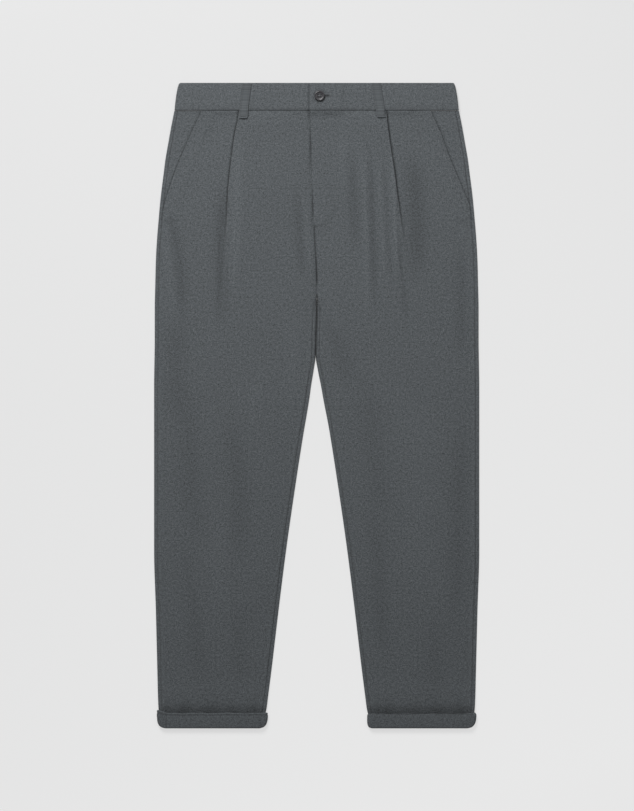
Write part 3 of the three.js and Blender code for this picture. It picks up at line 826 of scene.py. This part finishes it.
def make_band(side):
    """A half of the waistband: a flat strip with round edges, carried along the front, round the side
    edge in a half circle and along the floor side to the centre back."""
    sign = SIDES[side]
    u, z = band_route(side)
    radius = (BAND_FRONT - BAND_BACK) / 2
    angle = np.linspace(np.pi / 2, -np.pi / 2, 13)
    back_u = np.linspace(190, 0.15, 50)
    kind = np.concatenate([np.zeros(len(u)), np.ones(len(angle)), np.full(len(back_u), 2)])
    share = np.concatenate([np.ones(len(u)), (np.sin(angle) + 1) / 2, np.zeros(len(back_u))])
    top_y = 500 + (BAND_HEIGHT[side] - 500) * share
    y0 = BAND_SEAM_Y
    sections = stadium(0, 43, BAND_HALF, 16, 7)
    scale = (top_y - y0)[:, None] / 43
    yy = y0 + sections[0][None, :] * scale
    outer = at(BAND, "outer", yy)
    centre = outer - radius - BAND_HALF
    uu = np.empty_like(yy)
    zz = np.empty_like(yy)
    n_u, n_z = np.zeros_like(yy), np.ones_like(yy)
    flat_front, turned, flat_back = kind == 0, kind == 1, kind == 2
    uu[flat_front] = spread(u, centre[flat_front])
    zz[flat_front] = z[:, None]
    uu[turned] = centre[turned] + radius * np.cos(angle)[:, None]
    zz[turned] = BAND_BACK + radius + radius * np.sin(angle)[:, None]
    n_u[turned] = np.cos(angle)[:, None]
    n_z[turned] = np.sin(angle)[:, None]
    uu[flat_back] = spread(back_u, centre[flat_back])
    zz[flat_back] = BAND_BACK
    n_z[flat_back] = -1
    out = sections[1][None, :]
    # Stitching pulls the band in along its top and its seam.
    pinch = 0.22 * (bell(sections[0] - 4.2, 1.1) + bell(sections[0] - 39.5, 1.1))[None, :] * (out > 0)
    puff = 0.25 * np.sin(np.pi * np.clip(sections[0] / 43, 0, 1))[None, :] * (out > 0)
    ripple = wobble(uu, (0.10, 37, 0.4), (0.07, 21, 2.0)) * (out > 0)
    offset = out - pinch + puff + ripple
    x = sign * (uu + n_u * offset)
    zz = zz + n_z * offset
    if side == "left":
        around = np.hypot(x - BUTTON_AT[0], yy - BUTTON_AT[1])
        zz = zz - 0.45 * bell(around, 9.5) * (kind == 0)[:, None] * (out > 0)
    points = np.stack([x, yy, zz], axis=-1)
    # Painted shade along the waist seam, the band's top edge and its row of stitches.
    shade = 1 - 0.14 * bell(yy - y0, 1.4) - 0.10 * bell(yy - top_y[:, None], 1.6)
    shade = shade - 0.05 * bell(yy - y0 - 3.8, 0.8)
    if side == "right":
        # Painted shadow beside the end of the left half lapped over this one.
        beside = (x < BAND_END_X + 3) * (kind == 0)[:, None]
        shade = shade - 0.45 * bell(x - BAND_END_X + 0.6, 1.8) * beside
    else:
        # Painted shadow round the button, heavier towards its lower right.
        ring = np.hypot(x - BUTTON_AT[0], yy - BUTTON_AT[1])
        lower = np.clip(((x - BUTTON_AT[0]) - (yy - BUTTON_AT[1])) / 18 + 0.45, 0, 1)
        shade = shade - 0.45 * bell(ring - 9.0, 1.6) * (0.45 + 0.55 * lower) * (kind == 0)[:, None]
        # Painted shade in the buttonhole's slit.
        slot = bell(np.maximum(np.abs(x - 16.2) - 2.6, 0), 0.8) * bell(yy - BUTTON_AT[1] - 0.4, 0.9)
        shade = shade - 0.75 * slot * (kind == 0)[:, None]
    shade = np.clip(np.pad(shade, ((2, 2), (0, 0)), "edge"), *PAINTED_SHADING_RANGE)
    mesh = grid_mesh(f"waistband_{side}_cloth", capped(points), shade, closed_v=True)
    weld(mesh)
    obj = new_object(mesh.name, mesh)
    colours = bpy.context.scene.chinos_colours
    cloth = twill_material("Band twill", [c * 0.99 for c in colours.twill])
    dress(obj, cloth, "band_twill", f"waistband_{side}")
    return obj


class CHINOS_OT_waistband(bpy.types.Operator):
    """Both halves of the waistband, the left one lapped over the right"""
    bl_idname = "chinos.waistband"
    bl_label = "Waistband"

    def execute(self, context):
        for side in SIDES:
            band = make_band(side)
        return {"FINISHED"}


# ---- Belt loops -----------------------------------------------------------------------------------
LOOP_HALF_WIDTH = 6.75
LOOP_HALF = 0.65


def strap(name, path, material, node):
    """A belt loop: a flat section with round edges carried along path, rows of (x, y, z)."""
    path = np.array(path, float)
    t = np.linspace(0, len(path) - 1, 64)
    route = np.stack([np.interp(t, np.arange(len(path)), path[:, k]) for k in range(3)], axis=1)
    kernel = np.hanning(7) / np.hanning(7).sum()
    padded = np.pad(route, ((3, 3), (0, 0)), "edge")
    smooth = np.stack([np.convolve(padded[:, k], kernel, "valid") for k in range(3)], axis=1)
    section = stadium(-LOOP_HALF_WIDTH, LOOP_HALF_WIDTH, LOOP_HALF, 18, 7)
    seams = 0.16 * (bell(np.abs(section[0]) - 4.4, 0.7)) * (section[1] > 0)
    raised = 0.15 * bell(section[0], 3.0) * (section[1] > 0)
    x = smooth[:, 0:1] + section[0][None, :]
    y = smooth[:, 1:2] + 0 * section[0][None, :]
    z = smooth[:, 2:3] + (section[1] - seams + raised)[None, :]
    points = np.stack([x, y, z], axis=-1)
    # Painted shade along the loop's edges and its two rows of stitches.
    off_middle = np.abs(section[0])
    edges = 0.10 * bell(off_middle - LOOP_HALF_WIDTH, 1.2) + 0.16 * bell(off_middle - 4.4, 0.7)
    shade = 1 - edges[None, :] * np.ones_like(x)
    shade = np.pad(shade, ((2, 2), (0, 0)), "edge")
    mesh = grid_mesh(name, capped(points), shade, closed_v=True)
    weld(mesh)
    obj = new_object(name, mesh)
    dress(obj, material, "loop_twill", node)
    return obj


LOOPS = {
    "right": dict(top=(-107.7, 498.2), foot=(-114.2, 444.5)),
    "left": dict(top=(92.3, 499.6), foot=(100.4, 446.0)),
}


class CHINOS_OT_belt_loops(bpy.types.Operator):
    """Five belt loops, two over the front of the band and three under its back"""
    bl_idname = "chinos.belt_loops"
    bl_label = "Belt loops"

    def execute(self, context):
        colours = context.scene.chinos_colours
        cloth = twill_material("Loop twill", [c * 0.98 for c in colours.twill], mottle=2.6)
        on_band = BAND_FRONT + BAND_HALF + 0.3 + LOOP_HALF
        for side, loop in LOOPS.items():
            (x1, y1), (x0, y0) = loop["top"], loop["foot"]
            part = (BAND_SEAM_Y - y0) / (y1 - y0)
            x_mid = x0 + (x1 - x0) * part
            path = [
                (x0, y0, on_band + 0.55), (x0 + 0.2 * (x1 - x0), y0 + 5, on_band + 0.65),
                (x_mid, BAND_SEAM_Y + 2, on_band + 0.35), (x_mid + 0.4 * (x1 - x_mid), 474, on_band + 0.25),
                (x_mid + 0.8 * (x1 - x_mid), 490, on_band + 0.1), (x1, y1, on_band - 0.2),
            ]
            strap(f"belt_loop_front_{side}_strap", path, cloth, f"belt_loop_front_{side}")
        for name, x in (("side_right", -128), ("side_left", 128), ("back", 0)):
            path = [(x, 444.5, LOOP_HALF), (x, 470, LOOP_HALF), (x, 499.4, LOOP_HALF)]
            strap(f"belt_loop_{name}_strap", path, cloth, f"belt_loop_{name}")
        return {"FINISHED"}


# ---- Turn-ups -------------------------------------------------------------------------------------
CUFF = {
    "right": rows(
        "y outer inner",
        (-474, 248.2, 75.0), (-479, 247.8, 75.2), (-485, 247.2, 75.8), (-491, 246.4, 77.0),
        (-496, 243.8, 79.4), (-498.6, 240.5, 82.6), (-500, 236.5, 86.5),
    ),
    "left": rows(
        "y outer inner",
        (-474, 246.0, 79.0), (-479, 247.6, 78.4), (-485, 247.2, 78.2), (-491, 246.0, 78.4),
        (-496, 243.2, 79.4), (-498.6, 240.0, 81.2), (-500, 235.5, 84.0),
    ),
}
CUFF_TOP = {"right": -476.2, "left": -477.6}
LIP_OUT = {
    "right": [-0.35, -0.05, 0.15, 0.2, 0.12, -0.1],
    "left": [-0.35, 0.0, 0.3, 0.4, 0.4, 0.4],
}
# Rise of the top edge at the outer corner, and how far it reaches.
FLARE = {"right": (4.5, 7.0), "left": (2.0, 5.0)}


def cuff_profile(side):
    """Closed outline of the rolled hem as (y below its top, out): an outer ply over a first roll
    whose edge shows above it on the right leg."""
    lip = 3.6 if side == "right" else 1.6
    total = 500 + CUFF_TOP[side]
    down = np.concatenate([
        np.linspace(lip, lip + 1.2, 4), np.linspace(lip + 3, total - 2.0, 8),
        np.linspace(total - 1.4, total, 4),
    ])
    puff = 0.18 * np.sin(np.pi * (down - lip) / (total - lip))
    out_down = CUFF_HALF - 0.25 * bell(down - lip, 0.9) - 0.8 * step(total - 1.6, total, down) + puff
    lip_y = np.array([0.0, 0.25, 0.8, 1.6, lip - 0.7, lip - 0.2])
    lip_out = np.array(LIP_OUT[side])
    up = np.linspace(total - 0.6, 1.0, 8)
    out_up = np.full(8, -CUFF_HALF)
    y = np.concatenate([lip_y, down, up])
    out = np.concatenate([lip_out, out_down, out_up])
    return y, out


def make_cuff(side):
    """A turn-up: its profile carried round the flattened leg opening, a ring with half-round ends.

    The ring's reach to each side follows the outline at the point's own height, so its lower corners
    are rounded; the top edge rises at the outer corner.
    """
    sign = SIDES[side]
    down, out = cuff_profile(side)
    radius = (CUFF_HIGH - CUFF_LOW) / 2
    angle = np.linspace(np.pi / 2, -np.pi / 2, 13)
    t = np.linspace(0, 1, 90)[:-1]
    parts = [
        (t, np.ones_like(t), 0 * t, "top"),
        (np.ones_like(angle), np.sin(angle), angle, "outer"),
        (1 - np.linspace(0, 1, 40)[1:-1], -np.ones(38), np.zeros(38), "low"),
        (0 * angle, np.sin(-angle), angle, "inner"),
    ]
    pieces = []
    for share, level, turned, kind in parts:
        share, level, turned = share[:, None], level[:, None], turned[:, None]
        height, reach = FLARE[side]
        rise = height * bell((1 - share) * 160, reach)
        rise = rise + wobble(share * 160, (0.35, 46, 0.3), (0.25, 19, 1.1))
        weight = np.clip(1 - down / 9.0, 0, 1)[None, :]
        y = CUFF_TOP[side] - down[None, :] + rise * weight
        outer = at(CUFF[side], "outer", y)
        inner = at(CUFF[side], "inner", y)
        low_u, high_u = inner + radius + CUFF_HALF, outer - radius - CUFF_HALF
        u = low_u + (high_u - low_u) * share
        n_u = np.cos(turned) * (1 if kind == "outer" else -1) if kind in ("outer", "inner") else 0 * y
        n_z = level * np.ones_like(y)
        u = u + (radius + out[None, :]) * n_u if kind in ("outer", "inner") else u
        z = CUFF_LOW + radius + (radius + out[None, :]) * n_z
        pieces.append(np.stack([sign * u, y + 0 * u, z + 0 * u], axis=-1))
    points = np.concatenate(pieces)
    x, y, z = points[..., 0], points[..., 1], points[..., 2]
    on_top = z > 4.5
    seams = (233.5, 87.0) if side == "right" else (235.0, 88.0)
    strength = 1.0 if side == "right" else 0.25
    for seam in seams:
        z -= 0.45 * strength * bell(np.abs(x) - seam, 0.9) * on_top
        z += 0.3 * strength * bell(np.abs(x) - seam - 2.5 * (-1 if seam > 160 else 1), 1.6) * on_top
    z += wobble(x, (0.10, 31, 0.5), (0.08, 17, 1.4)) * on_top * step(-499, -494, y)
    lip = 3.6 if side == "right" else 1.6
    # Painted shade under the lip of the first roll and along the turn-up's seams.
    shade = 1 - 0.45 * bell(down - lip, 0.55)[None, :] * strength * np.ones_like(x)
    for seam in seams:
        shade = shade - 0.22 * strength * bell(np.abs(x) - seam, 1.2) * on_top
    points[..., 2] = np.maximum(z, 0.02)
    shade = np.clip(shade, 0.25, 1.2)
    mesh = grid_mesh(f"turn_up_{side}_cloth", points, shade, closed_u=True, closed_v=True)
    weld(mesh)
    obj = new_object(mesh.name, mesh)
    colours = bpy.context.scene.chinos_colours
    dress(
        obj, twill_material("Turn-up twill", [c * 0.97 for c in colours.twill]), "turn_up_twill",
        f"turn_up_front_{side}", f"turn_up_back_{side}",
    )
    return obj


class CHINOS_OT_turn_ups(bpy.types.Operator):
    """A turn-up round the hem of each leg"""
    bl_idname = "chinos.turn_ups"
    bl_label = "Turn-ups"

    def execute(self, context):
        for side in SIDES:
            cuff = make_cuff(side)
        return {"FINISHED"}


# ---- Button ---------------------------------------------------------------------------------------
BUTTON_HOLES = [(1.7, 1.7), (1.7, -1.7), (-1.7, 1.7), (-1.7, -1.7)]


def make_button():
    """A turned disc: radius and height along a profile, turned about its axis, dimpled at four holes."""
    profile = np.array([
        (0.01, 0.0), (1.1, 0.0), (1.1, 2.3), (1.6, 2.45), (5.5, 2.5), (7.0, 2.9), (7.6, 3.4), (7.8, 4.0),
        (7.55, 4.5), (6.9, 4.8), (6.1, 4.7), (5.4, 4.3), (4.6, 4.05), (3.8, 4.0), (3.0, 4.0), (2.2, 4.0),
        (1.4, 4.0), (0.7, 4.0), (0.01, 4.0),
    ])
    t = np.linspace(0, len(profile) - 1, 150)
    r = np.interp(t, np.arange(len(profile)), profile[:, 0])
    z = np.interp(t, np.arange(len(profile)), profile[:, 1])
    angle = np.linspace(0, 2 * np.pi, 96, endpoint=False)
    x = r[:, None] * np.cos(angle)[None, :]
    y = r[:, None] * np.sin(angle)[None, :]
    z = z[:, None] * np.ones_like(x)
    for hx, hy in BUTTON_HOLES:
        z = z - 1.3 * step(1.05, 0.75, np.hypot(x - hx, y - hy)) * (t[:, None] > 12)
    points = np.stack([x + BUTTON_AT[0], y + BUTTON_AT[1], z + BUTTON_BASE], axis=-1)
    mesh = grid_mesh("button_disc", points, closed_v=True)
    weld(mesh)
    obj = new_object("button_disc", mesh)
    colours = bpy.context.scene.chinos_colours
    dress(obj, plain_material("Button", colours.button, 0.42), "button", "button")
    return obj


def tube_along(path, radius, sides=6):
    """A thin round tube along path (n, 3): circles across it in the plane of its sideways and up."""
    path = np.asarray(path, float)
    ahead = np.gradient(path, axis=0)
    ahead = ahead / np.linalg.norm(ahead, axis=1, keepdims=True)
    up = np.array([0.0, 0.0, 1.0])
    sideways = np.cross(ahead, up)
    sideways = sideways / np.maximum(np.linalg.norm(sideways, axis=1, keepdims=True), 1e-6)
    over = np.cross(sideways, ahead)
    angle = np.linspace(0, 2 * np.pi, sides, endpoint=False)
    ring = sideways[:, None, :] * np.cos(angle)[:, None] + over[:, None, :] * np.sin(angle)[:, None]
    return capped(path[:, None, :] + radius * ring)


class CHINOS_OT_button(bpy.types.Operator):
    """The waist button and the thread through its holes"""
    bl_idname = "chinos.button"
    bl_label = "Button"

    def execute(self, context):
        make_button()
        colours = context.scene.chinos_colours
        thread = plain_material("Button thread", [c * 1.5 for c in colours.thread], 0.8)
        top = BUTTON_BASE + 4.1
        for name, start, end in (("a", (-1.7, -1.7), (1.7, 1.7)), ("b", (-1.7, 1.7), (1.7, -1.7))):
            t = np.linspace(0, 1, 15)
            x = BUTTON_AT[0] + start[0] + (end[0] - start[0]) * t
            y = BUTTON_AT[1] + start[1] + (end[1] - start[1]) * t
            z = top + 0.55 * np.sin(np.pi * t) ** 0.5 - 0.8 * (bell(t, 0.08) + bell(t - 1, 0.08))
            tube = tube_along(np.stack([x, y, z], axis=1), 0.42, 8)
            mesh = grid_mesh(f"button_thread_{name}", tube, closed_v=True)
            weld(mesh)
            obj = new_object(mesh.name, mesh)
            dress(obj, thread, "button")
        return {"FINISHED"}


# ---- Stitching ------------------------------------------------------------------------------------
def height_over(names, x, y):
    """Height in mm of the topmost of the named pieces under each x, y."""
    graph = bpy.context.evaluated_depsgraph_get()
    pieces = [bpy.data.objects[name].evaluated_get(graph) for name in names]
    heights = np.full(len(x), -1.0)
    for i, (px, py) in enumerate(zip(x, y)):
        for piece in pieces:
            hit, spot, _, _ = piece.ray_cast((px * MM, py * MM, 0.05), (0, 0, -1))
            if hit:
                heights[i] = max(heights[i], spot.z / MM)
    return heights


def sewn(name, path, names, slot, material, pitch=None, gap=0.3, thread=None, zigzag=0.0):
    """A row of stitches along path: one short tube a stitch, its ends dipping into the cloth.

    Points lie at equal steps of arc length; with a zigzag they swing to both sides of the path.
    """
    sizes = bpy.context.scene.chinos_sizes
    pitch = pitch or sizes.stitch / MM
    radius = (thread or sizes.thread / MM) / 2
    path = np.array(path, float)
    length = np.concatenate([[0], np.cumsum(np.linalg.norm(np.diff(path, axis=0), axis=1))])
    count = max(int(length[-1] / pitch), 2)
    spots = np.linspace(0, length[-1], count + 1)
    x, y = (np.interp(spots, length, path[:, k]) for k in range(2))
    if zigzag:
        ahead = np.stack([np.gradient(x), np.gradient(y)])
        ahead = ahead / np.linalg.norm(ahead, axis=0)
        swing = zigzag * (-1.0) ** np.arange(len(x))
        x, y = x - ahead[1] * swing, y + ahead[0] * swing
    z = height_over(names, x, y)
    spot = np.stack([x, y, z], axis=1)
    a, b = spot[:-1], spot[1:]
    middle, reach = (a + b) / 2, (b - a) / 2 * (1 - gap / 2)
    t = np.array([-1, -0.8, -0.4, 0, 0.4, 0.8, 1])
    centre = middle[:, None, :] + reach[:, None, :] * t[None, :, None]
    centre[..., 2] += radius * (0.55 - 1.3 * t[None, :] ** 4)
    ahead = reach / np.linalg.norm(reach, axis=1, keepdims=True)
    sideways = np.stack([-ahead[:, 1], ahead[:, 0], 0 * ahead[:, 0]], axis=1)
    sideways = sideways / np.linalg.norm(sideways, axis=1, keepdims=True)
    angle = np.linspace(0, 2 * np.pi, 6, endpoint=False)
    size = radius * np.array([0.02, 0.7, 1, 1, 1, 0.7, 0.02])
    ring = sideways[:, None, None, :] * np.cos(angle)[:, None]
    ring = ring + np.array([0, 0, 1.0]) * np.sin(angle)[:, None]
    points = centre[:, :, None, :] + size[:, None, None] * ring
    n, m, k = points.shape[:3]
    index = np.arange(n * m * k).reshape(n, m, k)
    after = np.roll(index, -1, axis=2)
    quads = np.stack([index[:, :-1], index[:, 1:], after[:, 1:], after[:, :-1]], axis=-1).reshape(-1, 4)
    mesh = bpy.data.meshes.new(name)
    mesh.from_pydata((points.reshape(-1, 3) * MM).tolist(), [], quads.tolist())
    weld(mesh)
    mesh.polygons.foreach_set("use_smooth", np.ones(len(mesh.polygons), bool))
    obj = new_object(name, mesh)
    dress(obj, material, slot)
    return obj


FLY_TACK = [(-5.5, 278.6), (0.5, 277.4)]


class CHINOS_OT_stitching(bpy.types.Operator):
    """Top stitching of the fly and pockets, bar tacks and the purled edge of the buttonhole"""
    bl_idname = "chinos.stitching"
    bl_label = "Stitching"

    def execute(self, context):
        colours = context.scene.chinos_colours
        thread = plain_material("Thread", colours.thread, 0.8)
        sewn("fly_stitches", J_STITCH, ["front_left_cloth"], "twill", thread)
        on = ["front_left_cloth", "front_right_cloth"]
        sewn("fly_tack", FLY_TACK, on, "twill", thread, pitch=0.5, gap=0.0, thread=0.6, zigzag=1.0)
        for side, sign in SIDES.items():
            y = np.linspace(450, 306, 60)
            path = np.stack([sign * (at(POCKET, side, y) - 4.0), y], axis=1)
            sewn(f"pocket_{side}_stitches", path, [f"front_{side}_cloth"], "twill", thread)
            end = at(POCKET, side, np.array([306.0]))[0]
            bar = [(sign * (end - 4.5), 304.5), (sign * (end + 1.0), 302.5)]
            on = [f"front_{side}_cloth", f"hip_facing_{side}_cloth"]
            sewn(f"pocket_{side}_tack", bar, on, "twill", thread, 0.5, 0.0, 0.5, 0.8)
            x0, y0 = LOOPS[side]["foot"]
            across = [(x0 - 5.4, y0 + 3.2), (x0 + 5.4, y0 + 3.2)]
            on = [f"belt_loop_front_{side}_strap"]
            sewn(f"loop_{side}_tack", across, on, "loop_twill", thread, pitch=0.5, zigzag=0.7, gap=0.0)
            top = BAND_SEAM_Y + 2.2
            start = -9.5 if side == "left" else 36.0
            path = [(sign * u, top) for u in np.linspace(start, 214, 40)]
            sewn(f"band_{side}_stitches", path, [f"waistband_{side}_cloth"], "band_twill", thread)
        hole_y = BUTTON_AT[1] + 0.4
        upper, lower = hole_y + 1.9, hole_y - 1.9
        purl = [(8.0, upper), (19.0, upper), (21.5, hole_y), (19.0, lower), (8.0, lower)]
        sewn("buttonhole_purl", purl, ["waistband_left_cloth"], "band_twill", thread, 0.7, 0.0, 0.5, 0.7)
        return {"FINISHED"}


# ---- Stage ----------------------------------------------------------------------------------------
VIEW_HEIGHT = 1.2574
CAMERA_HEIGHT = 5.0
CAMERA_X = 0.00054
SKY = 0.34
# Soft lights: place and width in metres, power in watts.
LIGHTS = {
    "Key": ((-0.7, 1.9, 1.75), 1.0, 84.0),
    "Fill": ((1.5, 0.7, 2.2), 1.6, 12.0),
}
# Share of glow in what the camera sees of the floor, the glow's level and slopes, and its limits.
FLOOR_GLOW = 0.7
GLOW_RANGE = (0.70, 0.92)
GLOW = (0.8136, 0.0483, -0.1564)


def floor_material(colour):
    """The camera sees mostly a plain glow of the floor's colour, with a share of lit surface in it that
    keeps the shadow; other rays meet a matt pale floor."""
    material = bpy.data.materials.new("Floor")
    material.use_nodes = True
    tree = material.node_tree
    tree.nodes.clear()
    node, link = nodes_of(tree)
    output = node("ShaderNodeOutputMaterial")
    lit = node("ShaderNodeBsdfDiffuse")
    lit.inputs["Color"].default_value = (*[c * 0.82 for c in colour], 1.0)
    glow = node("ShaderNodeEmission")
    glow.inputs["Color"].default_value = (1.0, 1.0, 1.0, 1.0)
    # The glow is a plane over x and y that evens out the light's falloff.
    place = node("ShaderNodeTexCoord")
    plane = node("ShaderNodeVectorMath", operation="DOT_PRODUCT")
    plane.inputs[1].default_value = (GLOW[1], GLOW[2], 0.0)
    link(place.outputs["Object"], plane.inputs[0])
    level = node("ShaderNodeMath", operation="ADD")
    link(plane.outputs["Value"], level.inputs[0])
    level.inputs[1].default_value = GLOW[0]
    kept = node("ShaderNodeClamp")
    kept.inputs["Min"].default_value, kept.inputs["Max"].default_value = GLOW_RANGE
    link(level.outputs[0], kept.inputs["Value"])
    link(kept.outputs[0], glow.inputs["Strength"])
    path = node("ShaderNodeLightPath")
    seen = node("ShaderNodeMath", operation="ADD", use_clamp=True)
    link(path.outputs["Is Camera Ray"], seen.inputs[0])
    both = node("ShaderNodeMath", operation="ADD", use_clamp=True)
    link(path.outputs["Is Glossy Ray"], both.inputs[0])
    link(path.outputs["Is Transmission Ray"], both.inputs[1])
    link(both.outputs[0], seen.inputs[1])
    share = node("ShaderNodeMath", operation="MULTIPLY")
    link(seen.outputs[0], share.inputs[0])
    share.inputs[1].default_value = FLOOR_GLOW
    mixed = node("ShaderNodeMixShader")
    link(share.outputs[0], mixed.inputs["Fac"])
    link(lit.outputs[0], mixed.inputs[1])
    link(glow.outputs[0], mixed.inputs[2])
    link(mixed.outputs[0], output.inputs["Surface"])
    return material


def soft_light(name, place, size, power):
    """A square area light at place, turned to face the origin."""
    data = bpy.data.lights.new(name, "AREA")
    data.shape = "SQUARE"
    data.size = size
    data.energy = power
    lamp = new_object(name, data)
    x, y, z = place
    lamp.location = place
    lamp.rotation_euler = (math.atan2(math.hypot(x, y), z), 0, math.atan2(-x, y) + math.pi)
    return lamp


class CHINOS_OT_stage(bpy.types.Operator):
    """Pale floor, soft studio light and a camera straight above"""
    bl_idname = "chinos.stage"
    bl_label = "Stage"

    def execute(self, context):
        scene = context.scene
        colours = scene.chinos_colours
        size = 6000.0
        reach = np.array([-size, size])
        x, y = np.meshgrid(reach, reach, indexing="ij")
        corners = np.stack([x, y, 0 * x], axis=-1)
        mesh = grid_mesh("floor", corners)
        floor = new_object("floor", mesh)
        floor.data.materials.append(floor_material(colours.floor))
        world = bpy.data.worlds.new("Studio")
        scene.world = world
        world.use_nodes = True
        background = world.node_tree.nodes["Background"]
        background.inputs["Color"].default_value = (0.8, 0.81, 0.82, 1.0)
        background.inputs["Strength"].default_value = SKY
        for name, (place, width, power) in LIGHTS.items():
            soft_light(name, place, width, power)
        data = bpy.data.cameras.new("Camera")
        data.type = "PERSP"
        data.sensor_width = 36.0
        data.lens = 36.0 * CAMERA_HEIGHT / VIEW_HEIGHT
        data.clip_end = 50.0
        camera = new_object("Camera", data)
        camera.location = (CAMERA_X, 0.0, CAMERA_HEIGHT)
        scene.camera = camera
        scene.view_settings.view_transform = "Standard"
        return {"FINISHED"}


class CHINOS_PT_panel(bpy.types.Panel):
    """Sidebar list of the pieces"""
    bl_idname = "CHINOS_PT_panel"
    bl_label = "Chinos"
    bl_space_type = "VIEW_3D"
    bl_region_type = "UI"
    bl_category = "Chinos"

    def draw(self, context):
        for settings in (context.scene.chinos_sizes, context.scene.chinos_colours):
            for key in settings.__annotations__:
                self.layout.prop(settings, key)
        for operator in PIECES + (CHINOS_OT_stage,):
            self.layout.operator(operator.bl_idname)


PIECES = (
    CHINOS_OT_backs,
    CHINOS_OT_facings,
    CHINOS_OT_fronts,
    CHINOS_OT_waistband,
    CHINOS_OT_belt_loops,
    CHINOS_OT_turn_ups,
    CHINOS_OT_button,
    CHINOS_OT_stitching,
)
CLASSES = (ChinosSizes, ChinosColours) + PIECES + (CHINOS_OT_stage, CHINOS_PT_panel)


def register():
    for cls in CLASSES:
        bpy.utils.register_class(cls)
    bpy.types.Scene.chinos_sizes = PointerProperty(type=ChinosSizes)
    bpy.types.Scene.chinos_colours = PointerProperty(type=ChinosColours)


def unregister():
    del bpy.types.Scene.chinos_colours
    del bpy.types.Scene.chinos_sizes
    for cls in reversed(CLASSES):
        bpy.utils.unregister_class(cls)


def main():
    register()
    bpy.ops.chinos.stage()
    bpy.ops.chinos.backs()
    bpy.ops.chinos.facings()
    bpy.ops.chinos.fronts()
    bpy.ops.chinos.waistband()
    bpy.ops.chinos.belt_loops()
    bpy.ops.chinos.turn_ups()
    bpy.ops.chinos.button()
    bpy.ops.chinos.stitching()


if __name__ == "__main__":
    main()
